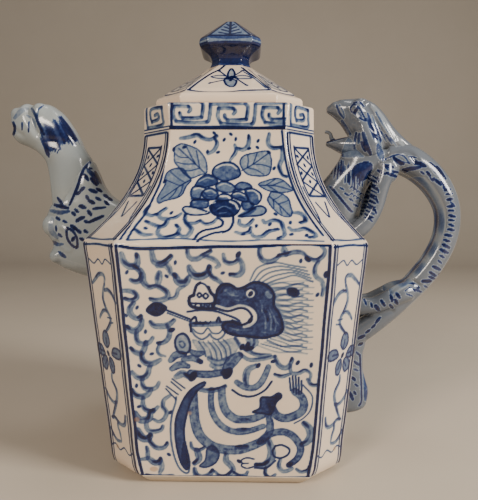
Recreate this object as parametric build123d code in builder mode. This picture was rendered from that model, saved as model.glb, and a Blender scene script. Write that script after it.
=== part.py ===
from build123d import *
import os
from math import cos, radians, sin, sqrt

# A faceted porcelain teapot built from clay slabs luted at their seams: an eight-sided body, a concave
# shoulder, a collar with a loose lid, a hollow spout formed as one beast rising from another's mouth, and a
# handle formed as a dragon. Millimetres, +Z up, the spout towards -X and the handle towards +X. The pot is
# drawn about its own axis, and each piece is then moved by pot_axis_x, so that the origin is under the middle
# of the whole, spout and handle included.

# Driving dimensions. A body level is (height, half width over the flats, half length of one flat).
foot_sole = (0.0, 50.4, 36.9)
base_edge = (4.3, 53.2, 38.7)
shoulder_edge = (108.0, 63.4, 45.1)
collar_foot = (158.4, 40.6, 26.2)
collar_rim = (171.0, 40.2, 27.4)
slab = 4.5  # thickness of every clay slab, measured level
floor_height = 9.3  # top of the floor
foot_ring_width = 6.5
shoulder_power = 2.1  # how sharply the shoulder sweeps in
shoulder_steps = 9
collar_width = 8.9  # ledge of the collar, from its outside to the mouth
rim_softening = 1.6  # rounding along the collar's top edge

lid_gap = 0.2  # between the lid's rim and the ledge it rests on
lid_clearance = 0.9  # between the flange and the mouth, all round
lid_flange_depth = 11.0
lid_flange_slab = 3.4
lid_slab = 6.4  # cover thickness, measured level
height = 220.0

spout_hole_radius = 6.0  # through the wall
spout_hole_height = 106.0
riser_radius = 5.0  # up the neck
riser_x = -87.0
riser_top = 163.5
pour_hole_radius = 3.6
pour_hole_height = 165.4
spout_tip_x = -115.4

leg_spread = 6.0  # from the middle plane to the middle of each paw

pot_axis_x = -2.4  # where the pot's own axis stands

MITRE = sqrt(2) - 1


def octagon(level):
    """Corners of the eight-sided outline at a level."""
    _, width, flat = level
    quarter = [(-flat, -width), (flat, -width)]
    corners = []
    for turn in range(4):
        c, s = (1, 0, -1, 0)[turn], (0, 1, 0, -1)[turn]
        corners += [(c * x - s * y, s * x + c * y) for x, y in quarter]
    return corners


def inset(level, depth):
    """The level with all eight sides moved in by depth."""
    z, width, flat = level
    return (z, width - depth, flat - depth * MITRE)


def at_height(low, high, z):
    """The level at height z on the straight line between two levels."""
    t = (z - low[0]) / (high[0] - low[0])
    return tuple(a + t * (b - a) for a, b in zip(low, high))


def sweep_in(t):
    """The shoulder's level at a share t of its height."""
    spread = (1 - t) ** shoulder_power
    z = shoulder_edge[0] + t * (collar_foot[0] - shoulder_edge[0])
    width, flat = (collar_foot[i] + spread * (shoulder_edge[i] - collar_foot[i]) for i in (1, 2))
    return (z, width, flat)


shoulder_levels = [sweep_in(step / shoulder_steps) for step in range(shoulder_steps + 1)]
wall_levels = [base_edge, shoulder_edge]


def prism(levels):
    """A solid through the eight-sided levels, with flat faces between them."""
    with BuildPart() as solid:
        for level in levels:
            with BuildSketch(Plane.XY.offset(level[0])):
                Polygon(*octagon(level), align=None)
        loft(ruled=True)
    return solid


def slab_section(level, is_facet):
    """Level section of one slab: a flat facing -Y, or the facet between -Y and +X."""
    _, width, flat = level
    _, inner_width, inner_flat = inset(level, slab)
    if is_facet:
        return [(flat, -width), (width, -flat), (inner_width, -inner_flat), (inner_flat, -inner_width)]
    return [(-flat, -width), (flat, -width), (inner_flat, -inner_width), (-inner_flat, -inner_width)]


def clay_slab(levels, quarter_turns, is_facet):
    """One slab with mitred seams, turned about the pot's axis by quarter turns."""
    with BuildPart() as piece:
        for level in levels:
            with BuildSketch(Plane.XY.offset(level[0]).rotated((0, 0, 90 * quarter_turns))):
                Polygon(*slab_section(level, is_facet), align=None)
        loft(ruled=True)
    return piece


def upright(sections, y=0.0):
    """A modelled form through level ellipses (height, low x, high x, half depth)."""
    with BuildPart() as form:
        for z, low, high, depth in sections:
            with BuildSketch(Plane.XY.offset(z)):
                with Locations(((low + high) / 2, y)):
                    Ellipse((high - low) / 2, depth)
        loft(ruled=True)
    return form


def lengthwise(sections):
    """A modelled form through upright ellipses (x, low height, high height, half depth)."""
    with BuildPart() as form:
        for x, low, high, depth in sections:
            with BuildSketch(Plane.YZ.offset(x)):
                with Locations((0, (low + high) / 2)):
                    Ellipse(depth, (high - low) / 2)
        loft(ruled=True)
    return form


def limb(stations, y=0.0):
    """A round limb in an upright plane, through (x, z, direction in degrees, radius)."""
    with BuildPart() as form:
        for x, z, direction, radius in stations:
            ahead = (cos(radians(direction)), 0, sin(radians(direction)))
            with BuildSketch(Plane(origin=(x, y, z), x_dir=(0, 1, 0), z_dir=ahead)):
                Circle(radius)
        loft()
    return form


def luted(form, *against):
    """The form cut back to where it meets the pieces that it is luted on."""
    with BuildPart() as piece:
        add(form.part)
        for other in against:
            add(other.part, mode=Mode.SUBTRACT)
    return piece


def write(builder, label):
    piece = builder.part.moved(Location((pot_axis_x, 0, 0)))
    piece.label = label
    export_step(piece, f"parts/{label}.step")


os.makedirs("parts", exist_ok=True)

# Foot and floor

with BuildPart() as foot_ring:
    add(prism([foot_sole, base_edge]).part)
    recess = inset(foot_sole, foot_ring_width)
    with BuildSketch(Plane.XY):
        Polygon(*octagon(recess), align=None)
    extrude(amount=base_edge[0], mode=Mode.SUBTRACT)
write(foot_ring, "foot_ring")

floor_level = at_height(base_edge, shoulder_edge, floor_height)
base_slab = prism([inset(base_edge, slab), inset(floor_level, slab)])
write(base_slab, "base_slab")

# The whole outside of the body, which the modelled pieces are cut back to
body_outside = prism([base_edge] + shoulder_levels + [collar_rim])

# The way that tea takes: through the wall, up the neck and out of the mouth
channel_end = riser_x - riser_radius - 0.5
with BuildPart() as spout_channel:
    with BuildSketch(Plane.YZ.offset(channel_end)):
        with Locations((0, spout_hole_height)):
            Circle(spout_hole_radius)
    extrude(amount=-channel_end - shoulder_edge[1] + 4 * slab)
    with BuildSketch(Plane.XY.offset(spout_hole_height)):
        with Locations((riser_x, 0)):
            Circle(riser_radius)
    extrude(amount=riser_top - spout_hole_height)
    with BuildSketch(Plane.YZ.offset(spout_tip_x - slab)):
        with Locations((0, pour_hole_height)):
            Circle(pour_hole_radius)
    extrude(amount=riser_x + pour_hole_radius - spout_tip_x + slab)

# Walls and shoulder: four flats and four corner facets each

sides = ("front", "right", "back", "left")
corners = ("front_right", "back_right", "back_left", "front_left")
for turns in range(4):
    wall = clay_slab(wall_levels, turns, False)
    if sides[turns] == "left":
        wall = luted(wall, spout_channel)
    write(wall, f"wall_{sides[turns]}")
    write(clay_slab(wall_levels, turns, True), f"corner_{corners[turns]}")
    write(clay_slab(shoulder_levels, turns, False), f"shoulder_{sides[turns]}")
    write(clay_slab(shoulder_levels, turns, True), f"shoulder_corner_{corners[turns]}")

# Collar, with the mouth through it

mouth = inset(collar_foot, collar_width)
with BuildPart() as collar:
    add(prism([collar_foot, collar_rim]).part)
    chamfer(collar.faces().sort_by(Axis.Z)[-1].edges(), rim_softening)
    with BuildSketch(Plane.XY.offset(collar_foot[0])):
        Polygon(*octagon(mouth), align=None)
    extrude(amount=collar_rim[0] - collar_foot[0], mode=Mode.SUBTRACT)
write(collar, "collar")

# Spout: a beast's head whose open mouth holds the neck and head of a second beast

spout_neck_form = upright([
    (121.0, -94.0, -82.0, 8.0),
    (128.0, -95.2, -79.5, 10.0),
    (135.0, -95.4, -78.0, 10.8),
    (143.0, -96.7, -74.5, 11.0),
    (148.0, -98.0, -73.3, 11.0),
    (153.5, -103.0, -75.8, 11.0),
])
spout_beast_form = upright([
    (88.0, -78.0, -50.0, 7.0),
    (93.0, -91.5, -48.0, 11.0),
    (100.0, -96.0, -46.0, 13.5),
    (107.0, -96.5, -46.0, 14.0),
    (113.0, -100.0, -46.0, 14.0),
    (120.0, -98.0, -48.0, 13.5),
    (126.0, -94.5, -56.0, 13.0),
    (131.0, -89.0, -62.5, 12.5),
    (136.0, -84.0, -66.5, 12.0),
    (143.0, -79.0, -69.5, 10.0),
    (148.0, -75.0, -71.5, 6.0),
])
spout_head_form = lengthwise([
    (spout_tip_x, 159.8, 173.0, 5.8),
    (-111.0, 157.0, 176.2, 8.5),
    (-106.0, 155.0, 179.0, 9.8),
    (-101.5, 152.5, 177.3, 10.4),
    (-95.0, 150.5, 178.0, 11.0),
    (-89.0, 151.0, 174.3, 11.0),
    (-83.0, 152.0, 167.0, 9.5),
    (-78.0, 154.0, 158.5, 6.0),
])
spout_neck = luted(spout_neck_form, spout_channel)
write(spout_neck, "spout_neck")
write(luted(spout_beast_form, spout_neck_form, body_outside, spout_channel), "spout_beast")
write(luted(spout_head_form, spout_neck_form, spout_channel), "spout_head")

# Handle: the dragon's chest and legs stand on the shoulder, its back is the grip, its tail runs down the wall

dragon_chest_form = upright([
    (110.0, 50.0, 66.0, 6.0),
    (116.0, 44.0, 68.5, 8.0),
    (124.0, 40.0, 70.0, 9.0),
    (132.0, 42.0, 71.5, 10.0),
    (138.0, 47.5, 74.0, 10.5),
    (144.0, 52.5, 80.0, 11.0),
    (150.0, 56.5, 86.0, 11.0),
    (154.0, 58.5, 87.0, 9.0),
])
dragon_head_form = lengthwise([
    (50.0, 174.0, 176.8, 2.5),
    (53.5, 171.4, 179.2, 6.0),
    (58.0, 167.0, 180.4, 8.5),
    (62.0, 160.5, 180.6, 10.5),
    (67.0, 151.0, 181.0, 12.0),
    (73.0, 148.6, 178.9, 12.5),
    (79.0, 149.3, 173.2, 11.0),
    (84.5, 151.0, 165.5, 8.5),
    (89.5, 153.5, 160.0, 4.0),
])
dragon_jaw_form = lengthwise([
    (49.8, 156.4, 158.8, 2.5),
    (54.0, 154.0, 159.8, 5.5),
    (58.0, 151.2, 161.0, 7.5),
    (64.0, 150.0, 162.0, 9.0),
])
dragon_back_form = limb([
    (84.0, 148.5, -12, 9.8),
    (96.5, 145.0, -25, 9.4),
    (106.5, 136.8, -50, 8.2),
    (112.3, 127.0, -75, 7.4),
    (113.0, 118.4, -92, 7.0),
    (111.0, 107.0, -108, 7.0),
    (106.0, 96.5, -122, 7.0),
    (99.0, 87.0, -132, 7.0),
    (90.5, 78.5, -137, 7.0),
    (80.0, 70.0, -142, 7.2),
    (52.0, 49.0, -144, 7.5),
])
foreleg_sections = [
    (108.6, 56.0, 66.0, 3.6),
    (112.0, 60.0, 70.5, 4.2),
    (118.0, 66.5, 76.0, 4.0),
    (125.5, 70.5, 78.8, 3.8),
    (131.6, 71.5, 80.3, 4.0),
    (137.4, 72.0, 80.8, 4.4),
    (143.5, 73.0, 80.5, 4.4),
]
hind_leg_stations = [
    (94.0, 84.0, -150, 4.6),
    (86.0, 79.0, -160, 5.2),
    (76.0, 76.0, -168, 4.6),
    (52.0, 72.0, -170, 5.4),
]
dragon_tail_form = upright([
    (16.2, 46.0, 68.0, 5.0),
    (20.0, 42.0, 73.1, 7.0),
    (27.0, 40.0, 74.0, 7.5),
    (33.5, 40.0, 72.3, 7.0),
    (39.5, 42.0, 71.0, 6.5),
    (45.0, 42.0, 71.1, 6.5),
    (53.5, 44.0, 72.5, 6.0),
    (59.0, 46.0, 71.5, 5.0),
])
dragon_chest = luted(dragon_chest_form, body_outside)
with BuildPart() as dragon_head:
    add(dragon_head_form.part)
    add(dragon_jaw_form.part)
    add(dragon_chest_form.part, mode=Mode.SUBTRACT)
dragon_back = luted(dragon_back_form, dragon_head_form, dragon_chest_form, body_outside)
write(dragon_chest, "dragon_chest")
write(dragon_head, "dragon_head")
write(dragon_back, "dragon_back")
write(luted(dragon_tail_form, dragon_back_form, body_outside), "dragon_tail")
for side, name in ((-1, "front"), (1, "back")):
    foreleg_form = upright(foreleg_sections, side * leg_spread)
    foreleg = luted(foreleg_form, dragon_chest_form, dragon_back_form, body_outside)
    write(foreleg, f"foreleg_{name}")
    hind_leg_form = limb(hind_leg_stations, side * leg_spread)
    hind_leg = luted(hind_leg_form, dragon_back_form, body_outside)
    write(hind_leg, f"hind_leg_{name}")

# Tongue tip: a thin curl that stands on the end of the dragon's lower jaw

tongue_radius = 0.9
with BuildPart() as dragon_tongue:
    with BuildLine(Plane.XZ) as curl:
        stem = Line((52.6, 159.0), (52.6, 161.4))
        bend = TangentArc([stem @ 1, (49.4, 163.2)], tangent=stem % 1)
    with BuildSketch(Plane(origin=(52.6, 0, 159.0), z_dir=(0, 0, 1))):
        Circle(tongue_radius)
    sweep(path=curl.line)
    add(dragon_jaw_form.part, mode=Mode.SUBTRACT)
write(dragon_tongue, "dragon_tongue")

# Lid: a pyramid on a rolled rim, a flange that keeps it in the mouth, and a bud-shaped knob

lid_foot = collar_rim[0] + lid_gap
lid_top = (195.5, 10.2, 5.6)
lid_line = (178.9, 31.3, 19.6)
lid_rim_levels = [
    (lid_foot, 34.2, 21.6),
    (lid_foot + 1.2, 35.4, 22.2),
    (lid_foot + 3.6, 35.4, 22.2),
    (lid_foot + 5.2, 34.0, 21.4),
]
flange_outside = inset(mouth, lid_clearance)
flange_inside = inset(flange_outside, lid_flange_slab)
hollow_top = at_height(lid_line, lid_top, 190.5)
with BuildPart() as lid_cover:
    add(prism(lid_rim_levels + [lid_line, lid_top]).part)
    hollow = [
        (lid_foot,) + flange_inside[1:],
        inset(lid_line, lid_slab),
        inset(hollow_top, lid_slab),
    ]
    add(prism(hollow).part, mode=Mode.SUBTRACT)
write(lid_cover, "lid_cover")

with BuildPart() as lid_flange:
    with BuildSketch(Plane.XY.offset(lid_foot)):
        Polygon(*octagon(flange_outside), align=None)
        Polygon(*octagon(flange_inside), align=None, mode=Mode.SUBTRACT)
    extrude(amount=-lid_flange_depth)
write(lid_flange, "lid_flange")

lid_knob = prism([
    lid_top,
    (200.4, 9.4, 5.6),
    (203.6, 12.6, 8.2),
    (206.6, 15.7, 10.8),
    (209.4, 15.6, 11.2),
    (211.8, 13.0, 10.0),
    (height, 2.4, 1.6),
])
write(lid_knob, "lid_knob")
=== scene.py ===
import math

import bmesh
import bpy
import numpy as np
from mathutils import Matrix, Vector


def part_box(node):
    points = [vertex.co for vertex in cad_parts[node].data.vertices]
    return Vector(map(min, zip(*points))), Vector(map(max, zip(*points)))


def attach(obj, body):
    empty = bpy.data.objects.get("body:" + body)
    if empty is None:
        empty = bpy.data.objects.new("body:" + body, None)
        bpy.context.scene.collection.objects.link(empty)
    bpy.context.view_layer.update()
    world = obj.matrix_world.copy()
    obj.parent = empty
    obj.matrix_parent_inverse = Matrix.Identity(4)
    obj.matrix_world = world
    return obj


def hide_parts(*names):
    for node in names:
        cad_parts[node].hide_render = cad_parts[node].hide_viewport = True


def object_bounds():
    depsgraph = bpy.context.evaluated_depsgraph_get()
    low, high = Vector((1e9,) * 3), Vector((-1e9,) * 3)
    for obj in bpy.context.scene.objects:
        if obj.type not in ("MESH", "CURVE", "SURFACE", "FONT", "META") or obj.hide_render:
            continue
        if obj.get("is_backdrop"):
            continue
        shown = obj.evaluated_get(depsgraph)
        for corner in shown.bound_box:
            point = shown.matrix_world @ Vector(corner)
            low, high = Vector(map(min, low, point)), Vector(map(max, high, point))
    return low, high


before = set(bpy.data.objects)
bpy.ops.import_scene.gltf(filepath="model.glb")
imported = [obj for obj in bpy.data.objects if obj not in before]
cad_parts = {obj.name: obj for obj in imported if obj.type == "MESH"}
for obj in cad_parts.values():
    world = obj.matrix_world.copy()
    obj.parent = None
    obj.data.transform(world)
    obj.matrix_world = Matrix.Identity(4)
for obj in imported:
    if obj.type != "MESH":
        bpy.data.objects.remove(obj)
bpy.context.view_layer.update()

# Lengths are millimetres about the pot's own axis, unless a name ends in _m. to_row() turns them into the
# row frame in metres: the pot's axis stands where the CAD collar's middle is.
lo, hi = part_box("collar")
AXIS_X = (lo.x + hi.x) * 500.0


def to_row(points):
    """Millimetres about the pot's axis to metres in the row frame."""
    return (np.asarray(points, float) + (AXIS_X, 0.0, 0.0)) * 0.001


# ---------------------------------------------------------------------------------------------------------
# Brushwork: a small raster in millimetres for each panel, read at the vertices into a colour attribute.


def smooth_noise(shape, cell, seed):
    """Value noise between 0 and 1 on a raster, with features of about cell pixels."""
    rows, cols = int(shape[0] / cell) + 3, int(shape[1] / cell) + 3
    grid = np.random.RandomState(seed).rand(rows, cols)
    y = np.linspace(0, rows - 2.001, shape[0])
    x = np.linspace(0, cols - 2.001, shape[1])
    i, j = y.astype(int), x.astype(int)
    fy, fx = y - i, x - j
    fy = (fy * fy * (3 - 2 * fy))[:, None]
    fx = (fx * fx * (3 - 2 * fx))[None, :]
    a = grid[np.ix_(i, j)] * (1 - fx) + grid[np.ix_(i, j + 1)] * fx
    b = grid[np.ix_(i + 1, j)] * (1 - fx) + grid[np.ix_(i + 1, j + 1)] * fx
    return a * (1 - fy) + b * fy


def curve_through(points, closed=False, step=0.12):
    """Catmull-Rom curve through the points, sampled about every step mm."""
    p = np.asarray(points, float)
    if len(p) == 1:
        return p
    if closed:
        p = np.vstack([p[-1], p, p[0], p[1]])
    else:
        p = np.vstack([2 * p[0] - p[1], p, 2 * p[-1] - p[-2]])
    out = []
    for k in range(1, len(p) - 2):
        n = max(2, int(np.linalg.norm(p[k + 1] - p[k]) / step))
        t = (np.arange(n) / n)[:, None]
        out.append(0.5 * (2 * p[k] + (p[k + 1] - p[k - 1]) * t
                          + (2 * p[k - 1] - 5 * p[k] + 4 * p[k + 1] - p[k + 2]) * t ** 2
                          + (3 * p[k] - p[k - 1] - 3 * p[k + 1] + p[k + 2]) * t ** 3))
    out.append(p[-2][None, :])
    return np.vstack(out)


WASH_SHIFT = (0.3, -0.4)  # the brush is held low and to the right, so its belly lags there


class Canvas:
    """Pigment on a panel: cobalt and iron, each 0 to 1."""

    def __init__(self, u0, u1, v0, v1, seed=1, per_mm=5.0):
        self.u0, self.v0, self.k = u0, v0, per_mm
        self.w, self.h = int((u1 - u0) * per_mm) + 1, int((v1 - v0) * per_mm) + 1
        self.cobalt = np.zeros((self.h, self.w))
        self.iron = np.zeros((self.h, self.w))
        self.pool = 0.62 + 0.76 * smooth_noise(self.cobalt.shape, 7.0, seed)
        self.streak = 0.7 + 0.6 * smooth_noise(self.cobalt.shape, 2.5, seed + 1)
        self.rng = np.random.RandomState(seed + 2)
        self.flip = self.dry = False
        self.du = self.dv = 0.0

    def _place(self, points):
        p = np.array(points, float).reshape(-1, 2)
        if self.flip:
            p[:, 0] = -p[:, 0]
        return p + (self.du, self.dv)

    def _window(self, p, margin):
        x0 = max(0, int((p[:, 0].min() - margin - self.u0) * self.k))
        x1 = min(self.w, int((p[:, 0].max() + margin - self.u0) * self.k) + 2)
        y0 = max(0, int((p[:, 1].min() - margin - self.v0) * self.k))
        y1 = min(self.h, int((p[:, 1].max() + margin - self.v0) * self.k) + 2)
        if x1 <= x0 or y1 <= y0:
            return None
        gx = self.u0 + np.arange(x0, x1) / self.k
        gy = self.v0 + np.arange(y0, y1) / self.k
        return slice(y0, y1), slice(x0, x1), *np.meshgrid(gx, gy)

    def _near(self, c, gx, gy):
        """Distance from each raster point to the curve, and how far along the curve it is, 0 to 1."""
        best = np.full(gx.shape, 1e9)
        along = np.zeros(gx.shape)
        n = max(1, len(c) - 1)
        for k, (x, y) in enumerate(c):
            d = (gx - x) ** 2 + (gy - y) ** 2
            hit = d < best
            best[hit] = d[hit]
            along[hit] = k / n
        return np.sqrt(best), along

    def _lay(self, rows, cols, dose, channel="cobalt"):
        field = getattr(self, channel)
        field[rows, cols] = 1 - (1 - field[rows, cols]) * (1 - np.clip(dose, 0, 1))

    def stroke(self, points, width, tone0, tone1=None, taper=0.45, channel="cobalt"):
        """One pull of a loaded brush: a pale wash, a darker core along its upper edge, a pool where it ends."""
        tone1 = tone0 if tone1 is None else tone1
        c = curve_through(self._place(points), step=0.25)
        win = self._window(c, width + 0.6)
        if win is None:
            return
        rows, cols, gx, gy = win
        d, s = self._near(c, gx, gy)
        under, _ = self._near(c[::2] + WASH_SHIFT, gx, gy)
        swell = 1 - taper + taper * np.sin(np.pi * np.clip(0.12 + 0.8 * s, 0, 1))
        tone = tone0 + (tone1 - tone0) * s
        uneven = self.pool[rows, cols] * self.streak[rows, cols]
        if self.dry:
            core = np.clip((0.42 * width * swell + 0.14 - d) / 0.28, 0, 1)
            self._lay(rows, cols, core * tone * (0.55 + 0.45 * uneven), channel)
            return
        if width > 2.4:  # a broad pull stays a wash, darker along its edges
            reach = 0.56 * width * swell
            wash = np.clip((reach + 0.15 - d) / 0.3, 0, 1)
            rim = 0.8 + 0.55 * np.exp(-((d - reach) / 0.45) ** 2)
            self._lay(rows, cols, wash * rim * (0.2 + 0.42 * tone) * (0.3 + 0.7 * uneven), channel)
            core = np.clip((0.14 * width - np.abs(under - 0.2 * width)) / 0.3, 0, 1) * np.clip(uneven - 0.9, 0, 1)
            self._lay(rows, cols, core * tone, channel)
        else:
            reach = 0.82 * width * swell
            wash = np.clip((reach + 0.15 - under) / 0.35, 0, 1)
            rim = 0.85 + 0.35 * np.exp(-((under - reach) / 0.35) ** 2)
            self._lay(rows, cols, wash * rim * (0.22 + 0.18 * tone) * (0.4 + 0.6 * uneven), channel)
            beat = np.sin(4.5 * s * max(1.0, len(c) * 0.25 / 9.0) + self.rng.uniform(0, 6.3))
            pulse = np.clip(0.45 + 0.9 * beat, 0.1, 1)
            core = np.clip(((0.14 + 0.2 * pulse) * width * swell + 0.18 - d) / 0.36, 0, 1)
            self._lay(rows, cols, core * tone * (0.25 + 0.8 * pulse) * (0.6 + 0.4 * uneven), channel)
        dark = max(tone0, tone1)
        if dark > 0.7 and width > 1.3:
            x, y = c[-1] if tone1 >= tone0 else c[0]
            back = c[max(0, len(c) - 6)] if tone1 >= tone0 else c[min(5, len(c) - 1)]
            for f in (0.0, 0.5, 1.0):
                at = (x + (back[0] - x) * f, y + (back[1] - y) * f)
                pool = np.clip(((0.42 - 0.1 * f) * width + 0.2 - np.hypot(gx - at[0], gy - at[1])) / 0.4, 0, 1)
                self._lay(rows, cols, pool * dark * 0.7, channel)

    def line(self, points, width=0.5, tone=0.85, wobble=0.0):
        """A thin even line."""
        c = curve_through(self._place(points), step=0.2)
        if wobble:
            k = np.arange(len(c))
            c = c + wobble * np.stack([np.sin(k * 0.045 + 1), np.sin(k * 0.06)], 1)
        win = self._window(c, width)
        if win is None:
            return
        rows, cols, gx, gy = win
        d, _ = self._near(c, gx, gy)
        cover = np.clip((0.5 * width + 0.12 - d) / 0.24, 0, 1)
        self._lay(rows, cols, cover * tone * (0.75 + 0.25 * self.pool[rows, cols]))

    def dot(self, x, y, rx, ry=None, tone=0.9, tilt=0.0, channel="cobalt"):
        ry = rx if ry is None else ry
        p = self._place([(x, y)])
        win = self._window(p, max(rx, ry) + 0.5)
        if win is None:
            return
        rows, cols, gx, gy = win
        a = math.radians(-tilt if self.flip else tilt)
        dx, dy = gx - p[0, 0], gy - p[0, 1]
        q = np.hypot((dx * math.cos(a) + dy * math.sin(a)) / rx, (dy * math.cos(a) - dx * math.sin(a)) / ry)
        cover = np.clip((1 - q) * min(rx, ry) / 0.3 + 0.5, 0, 1)
        self._lay(rows, cols, cover * tone * (0.8 + 0.2 * self.pool[rows, cols]), channel)

    def _inside(self, c, gx, gy):
        inside = np.zeros(gx.shape, bool)
        nxt = np.roll(c, -1, axis=0)
        for (x0, y0), (x1, y1) in zip(c, nxt):
            if y0 == y1:
                continue
            cross = (y0 > gy) != (y1 > gy)
            inside ^= cross & (gx < x0 + (gy - y0) * (x1 - x0) / (y1 - y0))
        return inside

    def fill(self, points, tone, outline=0.0, width=0.5, patch=1.0):
        """A washed shape with an optional outline; patch is how uneven the wash is."""
        c = curve_through(self._place(points), closed=True, step=0.4)
        win = self._window(c, width + 0.5)
        if win is None:
            return
        rows, cols, gx, gy = win
        inside = self._inside(c, gx, gy)
        d, _ = self._near(c, gx, gy)
        cover = np.clip(np.where(inside, d, -d) / 0.3 + 0.5, 0, 1)
        rim = 1 + 0.3 * np.exp(-(d / 0.6) ** 2)
        uneven = 1 - 0.5 * patch + 0.5 * patch * self.pool[rows, cols] * self.streak[rows, cols]
        self._lay(rows, cols, cover * tone * rim * uneven)
        if outline:
            ink = np.clip((0.5 * width + 0.12 - d) / 0.24, 0, 1)
            self._lay(rows, cols, ink * outline * (0.7 + 0.3 * self.pool[rows, cols]))

    def erase(self, points, width, strength=1.0):
        c = curve_through(self._place(points), step=0.25)
        win = self._window(c, width)
        if win is None:
            return
        rows, cols, gx, gy = win
        d, _ = self._near(c, gx, gy)
        keep = 1 - strength * np.clip((0.5 * width + 0.15 - d) / 0.3, 0, 1)
        self.cobalt[rows, cols] *= keep

    def draw(self, text):
        """Many strokes as text, one a line: 'kind width tone0 tone1: x y, x y, ...'."""
        for row in text.strip().splitlines():
            head, _, body = row.strip().partition(":")
            head = head.split()
            points = [tuple(float(n) for n in q.split()) for q in body.split(",")]
            nums = [float(n) for n in head[1:]]
            if head[0] == "s":
                self.stroke(points, *nums)
            elif head[0] == "l":
                self.line(points, *nums)
            elif head[0] == "d":
                for k, (x, y) in enumerate(points):
                    self.dot(x, y, nums[0] * 1.25, nums[0] * 0.8, nums[1], tilt=(57, -38, 80, 20)[k % 4])
            elif head[0] == "f":
                self.fill(points, *nums)
            elif head[0] == "e":
                self.erase(points, *nums)

    def halo(self):
        """The pigment's faint bleed into the glaze around it."""
        n = int(1.6 * self.k)
        kernel = np.hanning(2 * n + 1)
        kernel /= kernel.sum()
        blur = self.cobalt
        for axis in (0, 1):
            blur = np.apply_along_axis(lambda r: np.convolve(r, kernel, mode="same"), axis, blur)
        return blur

    def read(self, u, v):
        """Cobalt, iron and bleed at surface points, as an (n, 4) colour."""
        x = np.clip((np.ravel(u) - self.u0) * self.k, 0, self.w - 1.001)
        y = np.clip((np.ravel(v) - self.v0) * self.k, 0, self.h - 1.001)
        i, j = y.astype(int), x.astype(int)
        fy, fx = y - i, x - j
        out = np.ones((len(x), 4))
        for k, field in enumerate((self.cobalt, self.iron, self.halo())):
            out[:, k] = ((field[i, j] * (1 - fx) + field[i, j + 1] * fx) * (1 - fy)
                         + (field[i + 1, j] * (1 - fx) + field[i + 1, j + 1] * fx) * fy)
        return out


# ---------------------------------------------------------------------------------------------------------
# What is painted. Strokes are read as: s width tone0 tone1 (a brush stroke), l width tone (a line),
# d radius tone (dots), f tone outline line_width (a washed shape), e width (wiped clean).

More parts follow.
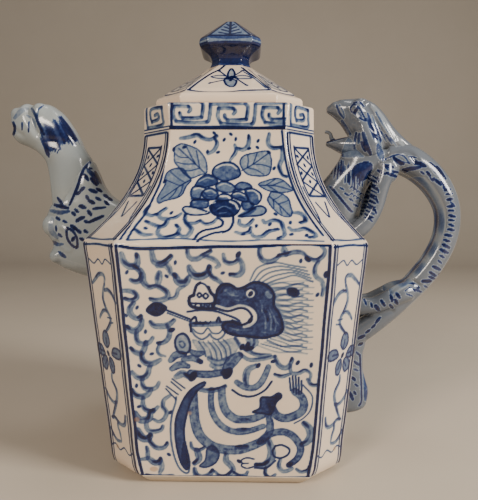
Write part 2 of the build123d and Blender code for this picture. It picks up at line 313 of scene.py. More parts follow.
SCROLLS = """
s 2.0 .45 .8: -43.5 104, -42.5 100.5, -40 98.8, -37.5 99.3, -36.8 101.5, -37 103.5
s 1.9 .8 .6: -38 98.5, -36 97, -35 95, -34.5 92, -32.5 90, -30 90.3
s 2.2 .45: -28.5 91, -28.3 93.5, -27.8 96.3
s 1.5 .6 .9: -40 93, -38 92.2, -36 93, -35.3 95.5
s 1.7 .7: -29.5 90.5, -27 89.5, -25 88, -24.5 86, -26 84.8, -29 84.3, -32 84.8
s 1.8 .6 .95: -31 106, -30.5 102.5, -29.5 100.5, -27 100, -25 101, -22.7 103
s 2.0 .35: -28.5 99, -25.5 99.5, -23.8 98, -23 95.5
s 2.2 .9 .5: -21.3 95, -19.8 92.3, -17 92, -15.3 94.5
s 1.2 .3: -17.5 90.3, -20 89, -20.6 87, -21.5 85.5, -24 84.8
s 2.2 .8 .95: -15.3 98.5, -14.5 96.5, -12.5 94.8, -9.5 95, -7.5 96.5, -6.7 98.5
s 1.5 .8 .7: -7 96.5, -5.5 94.3, -3.5 93.2, -1 91
s 1.5 .5 .9: -16 106, -15.7 103.5, -14 102, -11.5 102.2, -9.5 103.5, -6 105.3
s 1.5 .35: -9 103, -6 102.3, -4 101, -2.8 99.3, -4 98.5
s 1.4 .35 .8: -1 104, -.5 101.5, 1 100.3, 3.5 100.5, 5 101.5
s 1.7 .35 .85: 5.8 102, 6.8 100, 7 97.5, 5.5 95.5, 2 95.3
s 1.5 .4 .95: -43.5 88.3, -41 88.3, -38.5 87.5, -37.6 85.5, -39.5 84.3, -42.5 84.8
s 1.8 .45 .85: -39 83, -40.7 80.5, -40 77.8, -37.5 76.3, -35.8 77.2
s 1.9 .85 .6: -42 72.5, -40 71, -38 71.3, -36.3 73, -35.6 76
s 1.6 .55 .4: -38 71, -38.3 68, -37.3 65.7, -35 65.2, -32.7 66, -31.2 68
s 1.7 .5 .9: -34.2 66, -35 63, -36.6 61, -39 61.5, -40.5 63
s 1.8 .8 .4: -36 61, -36 58.5, -34.3 56.7, -31.5 56.5, -28 58.3
s 1.8 .55: -32 74.8, -30.5 73.3, -27 73, -24 74, -22 75.7
s 1.5 .5 .9: -25 73.5, -24 71, -24.5 68, -26.5 66, -29 65.3
s 1.1 .3: -28.3 65, -29.3 62.5, -28.5 60.5, -26 59.8
s 1.5 .55 .8: 14 107, 14 104, 15.3 101.8, 18 101, 20.5 102, 22.5 103.5
s 1.3 .9 .95: 22 103.5, 25 104, 28 105, 31 105, 33 103.8, 34.5 101.8
s 1.9 .5: 24 106.5, 25 104
s 1.3 .5 .7: 34 103, 36.5 101.8, 38.5 102, 40.5 103.8, 41 106, 39.5 107.5
s 1.4 .5 .35: 38.5 101, 37.3 99, 37 96.5, 38 94.5, 40 93, 40.8 90, 40.3 86.5
s 1.7 .6: -40.5 52.5, -38.5 50.3, -36 50, -34 51.5, -33 54.5, -32 56.5
s 1.5 .7 .4: -36 50, -36.3 47.5, -35 45.2, -32 45, -30 46, -29 48
s 1.8 .9 .6: -41 44.5, -39 42, -36.5 41.5, -34 42.5, -32.5 44.5
s 1.5 .6 .7: -36 41, -36.2 38, -35 35.5, -32 35, -29.5 37
s 2.1 .9: -39.8 34, -38 31, -36 30.7, -33.7 31.5, -33 34, -31.5 35
s 1.5 .6 .5: -34.5 31, -35 28, -33.8 25.8, -31 25.5, -28.5 26.3, -27.7 28
s 2.4 .95: -38.8 26, -37.5 23, -35 22, -33 23.5
s 1.5 .7 .9: -34 23, -33 20, -30.5 17.8, -27.5 18, -25.7 20
s 1.4 .45 .7: -35 18, -34.7 15.5, -35 13, -37.5 12.3
s 1.9 .6 .9: -34.5 13, -32 11, -30 11, -28.8 12.5
s 1.7 .5: -29 12, -28.6 8.5, -29.5 6
s 1.2 .85 .3: -35.5 4.8, -31 4.2, -26 4.5, -23.5 4.8
s 1.4 .35 .6: -24.5 42, -27 40, -27.5 37, -26 34.5, -27 31.5, -29.5 30, -31.5 31
d .8 .7: -41.2 95.8, -24.5 94.2, -20.8 100, -1 95.7, -37.3 80.7, -42.3 77.3, -34 70.2, -31.5 60.4
d .8 .75: 38.7 86.7, -37 55, -38.5 46, -37.6 36.5, -24 34, -25 14.3, 31.5 101
d 1.2 .9: 5.5 103.5, 34.3 101.7, 42 95.3, -22.8 71
l .5 .85: -25.8 44.8, -21.5 40
l .5 .85: -25.5 46, -20.5 42.2
l .5 .85: -23.5 48, -19 44
l .5 .85: -23 49.3, -17.5 45
"""

LION_HEAD = """
l .8 .85: -24.5 79.5, -20 77.8, -15 75.8
l .6 .6: -24.5 78.4, -19 76.3, -14.5 74.6
l 1.1 1: -13.3 86, -12.8 88, -12 90.3, -10.5 91.5
l .7 .8: -10.5 91.5, -8.5 90.8, -7 89
l 1.3 1: -7 89.6, -6 87.3, -4.7 86, -4.3 84.5, -4.5 81
l 1.3 1: -13.3 86, -14.8 85.5, -15.3 83.8, -14.8 82, -13 80.9, -9 80.4, -4 80.4
l .7 .9: -14.5 82.8, -9 82.5, -4.5 83
l .7 1: -12.4 82.8, -12.8 80.8
l .7 1: -10.2 82.6, -10.2 80.6
l .6 1: -8.7 82.6, -8.7 80.5
l .7 1: -6.6 82.7, -6.9 80.5
l .7 1: -5.6 82.8, -5.5 80.5
d .5 .95: -9.6 81.2, -7.6 81.6
l .7 .95: -11.8 86.3, -10.9 87.2, -10 86.3, -10.9 85.2, -11.8 86.3
l .7 .95: -9.4 85.8, -8.3 87, -7.1 85.9, -8.2 84.7, -9.4 85.8
l .8 .8: -16 79, -10 79.8, -4 79.3, 0 78, 4 76.5, 6 75.3
s 1.5 1 1 .1: -14.8 74, -11 74, -6 74.2, -2 74.4, 3 74.8, 6 74.3
l .9 1: -14.6 75.2, -12.8 76.8, -12 74.6
l .9 1: -3.6 75, -2.8 76.6, -2 74.8
l .5 .9: -10.6 74.8, -9.4 73.6, -8.4 74.8, -7.2 73.8, -6.2 74.9
l 1 .9: -14.8 73.5, -14.5 70.5
l .9 .45: -14.2 70.6, -12.6 68.4, -10 67, -7.6 68.2, -6.6 69.4, -5.6 68, -3.4 67, -1 68.4, .4 71
l .7 .5: -13.8 71.6, -12 69.9, -9.5 69.6, -7.4 71.9, -5.4 69.8, -2.6 69.8, -.8 72
f .66 .97 1.1 1.5: -4.5 82, -3.8 86, -3 89, -1 90.8, 1.5 91, 3.5 90, 5 89, 8 89.8, 11 91.5, 14 91.8, 17 90.8, 19.3 88.8, 20.6 86, 20.5 82, 22.5 79, 24 75, 24.3 71.5, 22.5 69.5, 19.5 68.6, 16 67.8, 9 68.5, 5 68.8, 1 70, -1 72, -.5 74, 3 74.5, 8 73.3, 11 73.5, 13 75, 13.5 77.5, 12.5 80, 10 81.5, 6 81.5, 2 80.8, -1 80.5, -3 81
e 1.4 .85: -3.6 81.6, 1 80.4, 6 81.7, 10 81, 12.6 78.6, 12.8 75.6, 10.5 73.4, 8 72.7
l .8 1: -4 80.6, 1 79.4, 6 80.7, 9 80.2, 11 78, 11.2 76
l .9 1: 3 75.4, 7 73.6, 10.4 75.2, 11.4 77.2
e 3.6 .9: 10.6 87, 10.7 87.1
e 2.4 .5: 17.6 87, 18.6 86
e 1.2 .35: 0 88.4, 2.4 88, 3.4 86.6
e .7 .45: 15.5 80, 17 76.5, 17 72
e .7 .45: 18 80, 19.5 76, 19.3 71.5
e .7 .4: 20.5 77, 21.5 74, 21.2 71
e .6 .4: 18.6 81, 20.6 77.6, 22.6 73.6
e .6 .35: 14.6 84, 15.6 82, 15.4 79
e .6 .35: 12.4 83.4, 14 81.4
e .6 .4: 1 87.5, 3 86.2, 5.5 86
e .6 .3: 4 84.4, 7 84, 9 84.6
e .7 .4: 2 72.2, 6 71.2, 11 71.4
e .6 .4: 15.4 70.4, 18.6 70
d 1 1: 10.7 86.9
l .7 .95: 8.4 88.4, 10.6 89.3, 12.8 88.4, 13.4 86.8
d 1.1 1: 10.6 75.4
d 1.2 1: 7.2 63.8, 8.8 63, 9.6 64.6, 10.8 63.2
s 2.2 .45 .5: 9.5 68.5, 10.6 66.5, 10.8 64.5
s 1.6 .6 .6: 12.5 68, 12.8 66, 12 64.6
"""

LION_BODY = """
f .2: -14 67, -8 65.8, -2 66.4, 4 67.8, 6 64, 2 58.6, -4 57.4, -9 59.6, -12.6 63
l .5 .45: -11.4 66, -9 62.4, -8.4 59.4
l .5 .45: -9.4 66, -6.6 62.6, -5.6 58.4
l .5 .45: -7.4 66.4, -4.4 62.4, -3.4 58.2
l .5 .45: -5.4 66.6, -2.4 62.6, -1.4 58.4
l .5 .45: -3.2 66.8, -.2 63, .6 58.8
l .5 .45: -1 67.2, 1.8 63.8, 2.4 60
e .6 .6: -8.6 65.6, -6 62, -5 58.6
e .6 .6: -4.4 66.2, -1.6 62, -.6 58.8
s 1.3 .4 .5: 4 68, 6.5 64.6, 9.5 62.4, 13.6 60.8, 19 60.8
s 1.3 .35 .5: 6 61, 10 58.6, 16 59, 21 60.2
l .9 .45: -21.3 41, -21.8 38, -23.3 33, -24 27, -23.8 20, -22.5 13, -20.5 8, -18 5.7, -16.5 6, -16 8
f .56 .85 .7 .8: -9 48, -13 46, -17 42, -20 36, -21.8 30, -22 22, -21 15, -19.5 10, -17.5 7.3, -16 8.5, -16 12, -17 17, -18 22, -18 27, -16.8 33, -15 39, -12 44, -9 46.5
f .6: -18.5 20, -19.5 13, -17.5 8, -16.3 9, -17 15
s 4 .5 .55 .15: -14 43, -13.8 36, -13.3 30, -11.5 24, -8 20, -4 17.8, 2 16.8, 7 17.2, 12 19, 16 21
s 3 .6 .9 .3: 15 20.6, 20 24.5, 25 25.5, 29 24, 32 20.5, 33 17, 31.5 13, 28 10
s 2.6 .5 .55 .2: -6 44.5, -6.3 39, -5.5 34, -3 29.5, 1 26.3, 6 25.2, 11 26, 16.5 28
s 3.4 .5 .6 .2: -1.5 44.5, -1.2 39, .5 34.5, 4 31.5, 8 31, 12 31.5, 16 33
s 1.2 .9: 7 31.3, 10 31.2
s 1.2 .9: 5 26.8, 10 26.8
s 1.4 .9: 4.5 18.5, 9.5 18.8
s 3 .8 .85 .2: -15 52, -8 51.4, 0 52.5
d 2 1: -14 50.5
d 2.3 1: 1 52
s 1.5 .85: -12 45, -8 44.5, -4 45, 0 46.5
f .22 .8 .9: -21.5 65.5, -20.5 68.3, -18 69.5, -16 68, -15 65, -15.3 62, -17 60.8, -19.5 61, -21 63
l .7 .4: -19.6 64.6, -18.4 63.2, -17.2 64.4, -18.2 66, -19.4 65.8
s 3 .5 .7: -23.5 57.5, -21 60, -17.5 60.4
s 3 .55 .7: -23 53.8, -19.5 55.6, -16 55
s 2.6 .5 .75: -18 58, -14 58.6, -10.5 57
s 2.6 .6: -14.5 61.5, -12 60.5, -9.6 61
s 2.2 .6 .8: -21.5 50.6, -18.5 52, -16 50.5
s 2.6 .2: -7 58.5, -3 56.5, 1 58.5
s 2.6 .2: -6 55.5, -2 54.5, 3 55.8
s 4.6 .5 .55: .5 54, 3 57.5, 6 60
s 2.6 .5 .55 .2: 5 48, 8 46, 12 45.5, 15 47.5, 17 51, 18.5 55
s 2 .5 .6: 9 47, 8.5 50, 9.5 54, 13 56
d 1 .9: 14.2 55.6
l .8 .9: 3 44.5, 7 42, 12 41.8, 17 44.5, 20 48.5
s 1.2 .8: 21 52, 24 51.2, 27.5 52.3
l .7 .8: 27.6 50.2, 28.2 44.5
l .7 .8: 28.9 51, 29.5 43.6
l .7 .8: 30.2 51, 30.7 43
l .7 .8: 31.5 50.5, 31.8 43
l .7 .8: 32.8 49, 32.9 43.4
s 3.4 .55 .9 .2: 30 44, 33 41.5, 34 38, 33 35, 30 33, 26 31.8, 22.5 33, 20.5 36, 20 39.5, 23 42
l .6 .6: 33.5 47, 37.5 42, 37 36, 34 32, 30 29.5
f .62 .95 .8 1.4: 15.5 41, 19 41.3, 24 41.5, 22 39, 21 36, 19.5 33.5, 16 34, 12 34.5, 15 36.5
s 3 .6: 18.5 34, 19.5 29, 19 25, 16 22, 15 20.5
s 2.4 .6 .95: 18.5 22, 20 17, 19.5 13, 17 10.3, 13.5 10
l .6 .85: 12.6 12.6, 9.5 13.2, 7 12, 7.5 10.4
l .6 .85: 12.4 9, 9.5 8.2, 7.2 9.2, 7.5 10.4, 10 10.6
l .9 .6: 13 8.5, 18 8.5, 22 12
l .8 .85: 22 19, 25 19.3, 28 17.5, 27.5 15, 24.5 13.3, 21.5 14, 20.8 16.5, 22 19
s 1.4 .4 .5: 24 13, 23.2 10, 25 7.5, 28 8, 29.5 9
s 1.2 .85: 17.5 9, 17.3 6, 19.5 4.3, 22 6
s 1.1 .85: 31 8.5, 33 7.2, 35.5 7.8, 37 9.2
d .9 .9: 37 9.4, 6 11.5, 36.8 56, 20.5 57.5, 31 57
s 2.3 .7: 34 30, 36 28, 37 24.5, 35.5 21.5, 33 20
s 1.1 .85: -15.5 20.5, -15 18, -12.5 17, -10.5 17.5, -9 18.5
s 2 .8: -13 17, -12 13, -14 10.5
s 1.8 .45 .95: -14 8, -13.5 5.5, -11 4, -8 5, -5.8 7.3
f .45 .85 .5: -8 17.5, -5 18.5, -2.8 15, -4 11, -8 8.5, -11.5 9, -9 12
s 1.1 .85: -5 7, -3 5, 0 5, 2 7
s 1.9 .6: 0 15, 0 12, 2 10, 3 7.5, 1.5 5.5
s 1.2 .85: 3.5 6.5, 6 5, 8.5 5.5, 9.5 7
s 1.5 .4 .9: 21 60, 22.5 56.5, 25 55, 27 56, 28.5 59
s 1.2 .5: 27.5 56.5, 28 53, 31 52.7, 34 54, 36.3 52.5, 36 49.5
s 1.2 .85: 35 50, 37 47.5, 40 47.5
"""


def lion_panel(canvas):
    """The front wall: a lion with a streaming mane chases a pearl through scrolls."""
    canvas.draw(SCROLLS)
    canvas.fill([(-33.4, 79.4), (-31.2, 82.2), (-28, 82.8), (-24.8, 80.8), (-26.8, 78), (-30, 77.2)], 1.0, 1.0)
    for k in range(5):  # the mane: a few hairs rise over the crown, the rest stream back almost level
        canvas.line([(10.4 + 1.3 * k, 92.6 - 0.5 * k), (13.6 + 1.9 * k, 98.0 - 1.3 * k), (20.6 + k, 100.2 - 1.6 * k),
                     (27 + 0.6 * k, 99.2 - 1.1 * k), (33.5 + 0.8 * k, 98.2 - 1.5 * k)], 0.8, 0.34)
    back_of_head = ([64, 69.5, 71.5, 75, 79, 82, 86, 88.8, 92], [13, 22.8, 24.8, 24.4, 23, 21.2, 21, 19.8, 15])
    for k in range(36):
        z0 = 91 - 26.5 * k / 35
        x0 = float(np.interp(z0, *back_of_head))
        x1 = 36.8 - 2.2 * ((k * 5) % 3) + 0.4 * (k % 2)
        rise = 1.5 * (1 - k / 10) if k < 10 else -0.13 * (k - 10)
        wave = 0.55 * math.sin(k * 2.1)
        canvas.line([(x0, z0), (x0 * .62 + x1 * .38, z0 + 0.7 * rise + wave),
                     (x0 * .3 + x1 * .7, z0 + rise - wave), (x1, z0 + rise + 0.4 * wave)],
                    0.6 + 0.3 * ((k * 7) % 3) / 2, 0.2 + 0.16 * ((k * 7) % 5) / 4)
    canvas.dot(28.5, 87.8, 2.8, 1.9, 0.95, tilt=-20)
    canvas.draw(LION_HEAD)
    canvas.draw(LION_BODY)
    canvas.dot(-38.7, 30.5, 1.1, channel="iron", tone=0.5)
    canvas.dot(-31.8, 7.3, 1.9, 1.2, channel="iron", tone=0.6)
    canvas.dot(-15.6, 33.7, 0.9, channel="iron", tone=0.5)


PEONY = """
f .22 .75 .5: -24.5 47.8, -22 49.8, -19.5 50, -14 48, -11 45, -9.5 42, -9 38, -9.5 36.3, -12 35.5, -16 34, -19 36, -22 39.5, -23.8 42, -24 46
l .4 .7: -10 36.5, -15 41.5, -22 48
l .4 .6: -12.3 38.8, -13.4 44, -14 47
l .4 .6: -14.3 40.8, -16.6 45, -18.6 49
l .4 .6: -12.3 38.8, -16.6 37.6, -20 37.6
l .4 .6: -14.3 40.8, -19.4 40.8, -22.8 41.6
l .4 .6: -17.4 43.8, -21.4 44, -23.6 45.6
f .3 .75 .5: -28 33, -27 36.5, -24 38.5, -20 38.5, -18 36, -16 33, -18 30, -19.5 26, -22 24, -27 22.5, -29.5 21.3, -30.5 24, -27.5 31
l .4 .7: -16.5 33, -21 30, -28.6 23.6
l .4 .6: -18.5 31.6, -22 34, -25.4 37
l .4 .6: -20.5 30.2, -24 31.6, -27.4 33
l .4 .6: -19.6 30.6, -20.2 27.4, -21.4 24.6
l .4 .6: -22 29, -23.4 26, -25.4 23.6
f .44 .9 .6: -6.6 36.2, -5.7 39.3, -2.2 41.4, 1.4 41.6, 4.5 39.8, 5.8 37.2, 5.3 34.7, -.4 32.6, -4 33.6
f .5 .85 .6: -14.1 30.5, -12.4 33.6, -9.3 35.7, -6.6 35.2, -4.4 33.1, -4.8 31.1, -9.3 29.5, -13.3 29.8
f .34 .9 .6: -15.9 26.9, -15 29.5, -12.4 30.3, -9.3 29, -11 26.9, -11.9 23.8, -15 23.8
f .5 .9 .6: -11 25.9, -9.3 28.5, -6.6 29, -4 26.9, -4.4 23.8, -8.4 23.3
f .36 .85 .6: -4.8 30.5, -2.2 32.3, 1.4 31.6, 3.6 29.5, 3.1 27.4, -.4 26.9, -4 28
f .4 .8 .6: 3.6 30, 6 32, 9.5 31.4, 11 29.4, 8 28.4, 5 28.2
f .5 .9 .6: 2.2 25.9, 4.5 27.4, 7.6 26.4, 9.3 24.4, 8.9 22.3, 5.8 22.8, 2.7 24.4
f .5 .9 .6: 8 28.5, 11.1 29, 14.6 26.9, 15.3 24.4, 13.8 21.3, 11.1 20.8, 9.3 24.4
f .5 .9 .6: -15 22.8, -11.5 23.3, -8.4 22.8, -8 19.7, -10.2 18.7, -14.6 19.2, -15.7 20.8
f .12 .95 .7: -19 18.2, -17.7 19.7, -14.1 19.2, -8.4 17.1, -7.5 16.1, -12.4 15.1, -16.8 15.8
f .28 .95 .7: 5.3 14.6, 9.3 16.6, 12.9 19.7, 16 19.7, 17.3 17.7, 15.5 15.4, 10.2 14.6
f .42 .85 .6: 6.7 21.8, 9.3 22.3, 12 20.8, 10.2 18.7, 7.6 18.2
f .5 .9 .6: -4.4 24.4, -1.6 26.4, 1.6 25.4, 2.4 23.4, -1 22.8, -4 23
f .8 .95 .8: -7 19.7, -4.8 22.3, -1.3 22.8, 3.1 22.8, 5.8 20.2, 4.9 16.6, 2.2 14.6, -3.1 14.6, -6.2 16.6
e .9 .75: -4.9 39, -1.8 40.4, 1.8 40.3, 4.2 38.6
e .7 .6: -12.4 32.4, -9 34.2, -6.4 33.6
e .8 .75: -14.4 28.4, -12.4 29.2, -10.4 28.4
e .8 .65: -9.6 27.4, -7 28, -5 26.6
e .7 .6: -3.6 30.4, -1 31.3, 1.8 30.2
e .8 .75: 3 26, 5.4 26.6, 7.8 25.4
e .9 .75: 9.4 27.8, 12 27.8, 14.2 25.6, 14.4 23.4
e .8 .6: -14.4 22, -11.4 22.4, -8.6 21.8
e 1.3 .85: 1.6 22.2, 3.8 21, 5 18.6
e 1.1 .85: -2.6 24.9, .2 25, 1.4 24
e .9 .8: -6.4 21.4, -5 21.8
e .6 .6: -4 18.2, -1 19.8, 2 18.6
e .6 .6: -3 16.2, 0 16.4
e .5 .4: -8.4 25.4, -6.4 25
s 1.4 1: -15.4 24, -12 23.4, -8 23.2
s 1.8 1: 6 15.2, 9 17, 12 19
s 1.2 1: 3 28.2, 6.4 28.6
s 1.3 .95: -4.8 23.6, -2.6 22.8
d .7 .9: -3.4 17.4, 1.8 17
l .5 .6: -10 27, -8.4 25, -6.2 24.6
l .5 .6: 4.4 24, 6.4 24.4, 8 23.6
f .24 .75 .5: 6 40, 6 43, 8 45, 12 46, 16 46.8, 18.5 46.5, 19.8 43, 19.5 38, 18 35.5, 14 35, 9 36
l .4 .7: 6.5 37.6, 12 41, 18.6 46
l .4 .6: 9 39, 9.4 42.4, 9.2 45
l .4 .6: 11.6 40.8, 12.6 43.6, 13.4 46
l .4 .6: 9 39, 13 38, 16.4 35.8
l .4 .6: 11.6 40.8, 16 40.4, 19.2 39.4
f .26 .75 .5: 14 31, 18 33, 22 34, 25 33, 28 30, 29 28, 24 26.8, 18 28
l .4 .7: 14.6 30.4, 21 30.4, 28.4 28.2
l .4 .6: 17 30.4, 19.6 32.2, 21.4 33.6
l .4 .6: 20 30.4, 23 31.8, 25.2 32.6
l .4 .6: 18 30.4, 20.4 28.8, 22.4 27.4
f .26 .75 .5: 18.5 25, 20 27.5, 24 26.5, 27 24, 28 20, 28.5 17, 27.5 14.5, 24 15, 20 19, 18 23
l .4 .7: 18.8 25, 23 20.6, 27.4 15
l .4 .6: 20.4 23.2, 22.6 24.4, 24.4 26
l .4 .6: 22.6 21, 25 22, 27 23
l .4 .6: 20.4 23.2, 20.6 21, 20.6 18.8
l .4 .6: 23.4 20, 23.4 18, 24 15.8
s 1.4 .5 .9: -21.5 53, -18 53.5, -14 54.5, -11 53, -8 52.5, -5 54
s 1.3 .5 .9: -9 46, -6.5 47.5, -5 50.5, -6 53
s 1.2 .6: 3 50, 3.5 47, 1 43
s 1.4 .5 .9: 4 48.5, 7 48, 9 50, 9.5 54
s 1.4 .5 .9: 18.5 55, 18 51, 20 48.8, 24 48.8
s 1.4 .5 .8: 24.3 49, 24.3 44, 23 40, 24.5 36, 26.5 35
d .75 .8: -14.7 51, -6 55, -9 46.5, -4.2 46.3, -1.5 52, 1.5 54.5, 3.7 52.3, 9.8 48, 13.8 51.5, 13.5 48.5
d .8 .8: 21 38.8, 18.7 46.3, -24.2 47.6, -19.4 48.6, -27.8 32.3
s 1.4 .5 .9: -34 20, -35.5 17, -33 15.3, -30 15.8
s 1.5 .5 .8: -26.5 19, -29.5 16, -28 13.8, -25.5 13, -26.5 10, -29 9.5, -34.5 12
s 1.2 .6: -25 13.5, -22 14.3, -19.5 16.5
s 1.5 .5 .9: -28.5 9, -29 6, -27.5 4, -25 3.5, -21 5, -20 8, -21.3 10
s 1.5 .5 .9: -20.5 5.5, -18 4, -16 4.5, -14.8 8, -17 11, -18 13.5, -17.7 15.5
s 1.2 .6: -16 11.3, -13.5 11.3, -11 12.8
s 1.2 .6: -11 12.5, -9 10.8, -6 11.5, -4 14
s 1.4 .6: -38.5 7.5, -35 5, -31 5
d .8 .8: -23.7 16.3, -34 8, 13 9.5, 7.5 5, 18.8 10.3, 21.3 15.8, 27.5 11.3, 27.7 5, 34 4.5, 33.8 12.8
l 1 .85: -3.5 13.8, -1.5 12, -1.8 9.5, -5 8, -9 7, -11.5 5, -13 2
l 1 .75: 0 6.5, -5 5.5, -8 4, -10.5 2.5, -11.5 1
l 1 .85: 3 15, 3 11, 1.5 7.5, -1 6
s 1.3 .5 .9: 5.5 13, 5.5 11, 7 10, 9 10.3, 11.5 13.3
s 1.3 .5 .9: 4 6.5, 6.5 5.8, 9.5 6.5, 10.5 9
s 1.4 .5 .9: 10.5 6, 12 4, 15 4.3, 18 7, 22 8
s 1.4 .5 .9: 15.5 13, 16.5 11.5, 20 13, 23 12, 24 9, 24.5 5, 22 3
s 1.4 .5 .9: 26.5 9, 28 7.5, 31 8, 33.5 8.5, 37 6, 37.5 4.5, 35 3.5
s 1.4 .5 .9: 29 17, 32 16.5, 34 13, 31.5 11.5
"""

SHOULDER_BORDERS = """
l .9 .85: -27 55, -28 45, -29.5 33, -32 25, -35 16, -39 8, -41 2
l .9 .85: -28.5 55.6, -30 42, -33 29, -38 17, -42 7, -44 2
l .9 .85: 24.5 56, 25.5 47, 27 38, 29.5 29, 33 20, 37 12, 41 4.5
l .9 .85: 26.8 56, 27.5 45, 28.5 37, 31.5 28, 35.5 19, 40 10, 43.5 3
l .7 .5: -41 1.6, -20 2.4, 0 1.2, 20 2, 41 1.4
"""

KEY_UNIT = """
s 1.15 .95 .5 .2: -17.8 166.8, -17 168, -18 169.3
s 1.15 .5 .5 .1: -18 169.3, -21.5 169.4, -24.5 169.3
s 1.15 .5 .5 .1: -24.5 169.3, -24.9 167, -24.8 165, -23.5 162.6
s 1.15 .45 .5 .1: -23.5 162.6, -18 162, -13 162, -9.5 162.3
s 1.15 .95 .5 .1: -9.5 162.3, -8.8 163, -8.2 167, -8 171
s 1.15 .5 .55 .1: -27.5 171.3, -20 171.5, -12.5 171.5
s 1.15 .55 .9 .1: -12.5 171.5, -11.4 170, -11.6 167, -12 164.3
s 1.15 .9 .5 .1: -12 164.3, -16 164, -20.5 164
s 1.15 .5 .95 .1: -20.5 164, -21.6 165, -21.8 166.3
"""

FACET_VINE = """
s 1.3 .6 .4: 8.5 90, 5 92.5, 2 94.3, -1 94.5, -2.3 93, -1.5 90
s 1.3 .4 .8: -1.5 90, 0 87.5, 1 84, .5 81.5, -1 78.5, -2.8 76, -3 73.5, -1 71, 2.5 68
s 1.3 .5 .9: -9 82.8, -7 86, -4 87.8, -1 87.5
s 1.1 .5 .9: -1 78, 2 78, 4.5 76, 6 74.2
l .5 .7: -4.5 74.8, -1 74.8
l .5 .7: -5.5 73, -2 72.5
s 1.3 .5 .8: 1.5 49, 1.5 46, -1 42, -.5 38, 1.5 34, 3.5 30.5, 5.5 27.5
s 1.2 .5 .9: 0 36, 3 35.5, 6 37, 8.5 40.5
s 1.3 .6 .9: -6 31, -5 27.5, -3 26, 0 26.3, 3 28, 6 27.3
s 1.1 .5: 1 27, 1.5 24, .5 21.5, 0 18
s 1.2 .5 .9: .5 17.3, 3.5 17, 6 18.5, 8 21.5
f .36 .9 .6: 2.5 60.6, 5.2 63, 4.6 67, 2.5 68.4, .4 67, -.2 63
f .36 .9 .6: -1 58.2, -3 61.2, -7 61.4, -9 59, -7 56.8, -3 57
f .36 .9 .6: 4.6 57.6, 7 61.2, 10.4 61, 11.6 58.4, 9 56.6, 6 56.4
f .36 .9 .6: 1.4 56, 2 52.4, .6 49.4, -1.6 50, -2.2 53.4, -.6 56
f .36 .9 .6: 3.4 56, 3.2 52.6, 5 50, 7.4 51, 7.8 54, 5.6 56.6
d 1.1 .95: 2 58
l .5 .8: 2.2 61, 2.5 65
l .5 .8: -1.6 59, -5.6 59
l .5 .8: 5.4 58.4, 9 58.8
l .5 .8: .8 55, -.2 52
l .5 .8: 3.6 55, 5.6 52.4
"""

LATTICE = """
l .9 .9: -5.5 157.5, -6.2 146, -6.6 133.5
l .9 .9: 5 157.5, 4.8 146, 5 133.5
l .9 .85: -5.5 157.5, 5 157
l .9 .85: -6.6 133.5, 5 133.4
l .9 .85: -5.5 157, 5 149
l .9 .85: 5 157, -5.8 149
l .9 .85: -5.8 149, 5 141
l .9 .85: 5 149, -6.2 141
l .9 .85: -6.2 141, 5 133.5
l .9 .85: 5 141, -6.6 133.5
d .8 .9: -.4 149, -.6 141, -4 153, 3.4 153, -4.4 145, 3.4 145
l .9 .85: -4 130.5, -2 126, .3 122.5, 1.6 126, 3 130
l .8 .8: -7.5 139, -6.8 130, -7.6 124, -9 119.5
l .8 .8: 6.4 138, 6.4 130, 7.6 123, 9.5 119.5
l .8 .9: -8.5 163.6, 8 163.6
"""

LID_PANEL = """
l 1 .9: -19 -1, -14 -2.5, -8 -3.3, 0 -3, 7 -1.7, 20 -1
l 1.1 1: -18.4 -1, -14 8, -9 16.5, -5 21.4, -2.5 27
l 1.1 1: 19 -.5, 14.4 9.6, 9.6 17, 6 23.6
l .7 .7: 17.4 .6, 12 11, 7 18.6
f .2 .95 .9: .8 22.5, -.7 17.5, -.5 12, .8 10.5, 2.3 12, 2.5 17.5
f .24 .95 .9: -2 10, -1.5 5, 0 2.5, 1.3 1.8, 2.8 3, 3.3 9
f .1 .9 .8: -1 13, -4 14.7, -7 14, -8.7 13, -6 11.3, -2 10.8
f .1 .9 .8: 3 13, 6 14.5, 9 13.5, 10.5 11, 6 10.7, 3 11
l .8 .9: -5 19.5, -1 13
l .8 .9: 6.3 20, 3 15
l .8 .9: -9 6, -3 9
l .8 .9: 8.3 3.7, 4 10
d .8 .8: -9 6, 8.4 3.6, -5 19.6, 6.4 20
d 1.9 1: 1 12
d .9 .95: -1.6 11.4, 3.4 11.6, .8 9
"""


def scatter_scrolls(canvas, half, v0, v1, seed, pitch=7.4):
    """Fills a panel with the same comma and hook scrolls the front has, on an uneven lattice."""
    rng = np.random.RandomState(seed)
    rows = int((v1 - v0) / pitch)
    for i in range(rows):
        v = v0 + (i + 0.5) * (v1 - v0) / rows
        cols = max(1, int(2 * half(v) / pitch))
        for j in range(cols):
            u = (-1 + 2 * (j + 0.5) / cols) * half(v) + rng.uniform(-0.9, 0.9)
            y = v + rng.uniform(-1.1, 1.1)
            turn, size = rng.uniform(0, 2 * math.pi), rng.uniform(0.85, 1.15) * pitch * 0.5
            bend = rng.choice((-1, 1))
            points = []
            for k in range(6):
                a = turn + bend * (k / 5) * rng.uniform(3.4, 4.2)
                r = size * (1 - 0.42 * k / 5)
                points.append((u + r * math.cos(a), y + r * math.sin(a)))
            tones = (0.45, 0.9) if rng.rand() < 0.5 else (0.85, 0.45)
            canvas.stroke(points, rng.uniform(1.2, 2.0), *tones)
            if rng.rand() < 0.45:
                canvas.dot(u + rng.uniform(-3, 3), y + rng.uniform(-3, 3), 0.75, tone=0.8)


def borders(canvas, half, z0, z1, gap, width=1.25, front=False):
    """Dark lines down both edges of a panel, gap mm inside them."""
    for side in (-1, 1):
        points = [(side * (half(z) - gap + 0.12 * math.sin(z * 0.21 + side)), z) for z in np.linspace(z0, z1, 10)]
        if front:
            points = [(float(lean_out(x, z)), z) for x, z in points]
        canvas.line(points, width, 0.97)


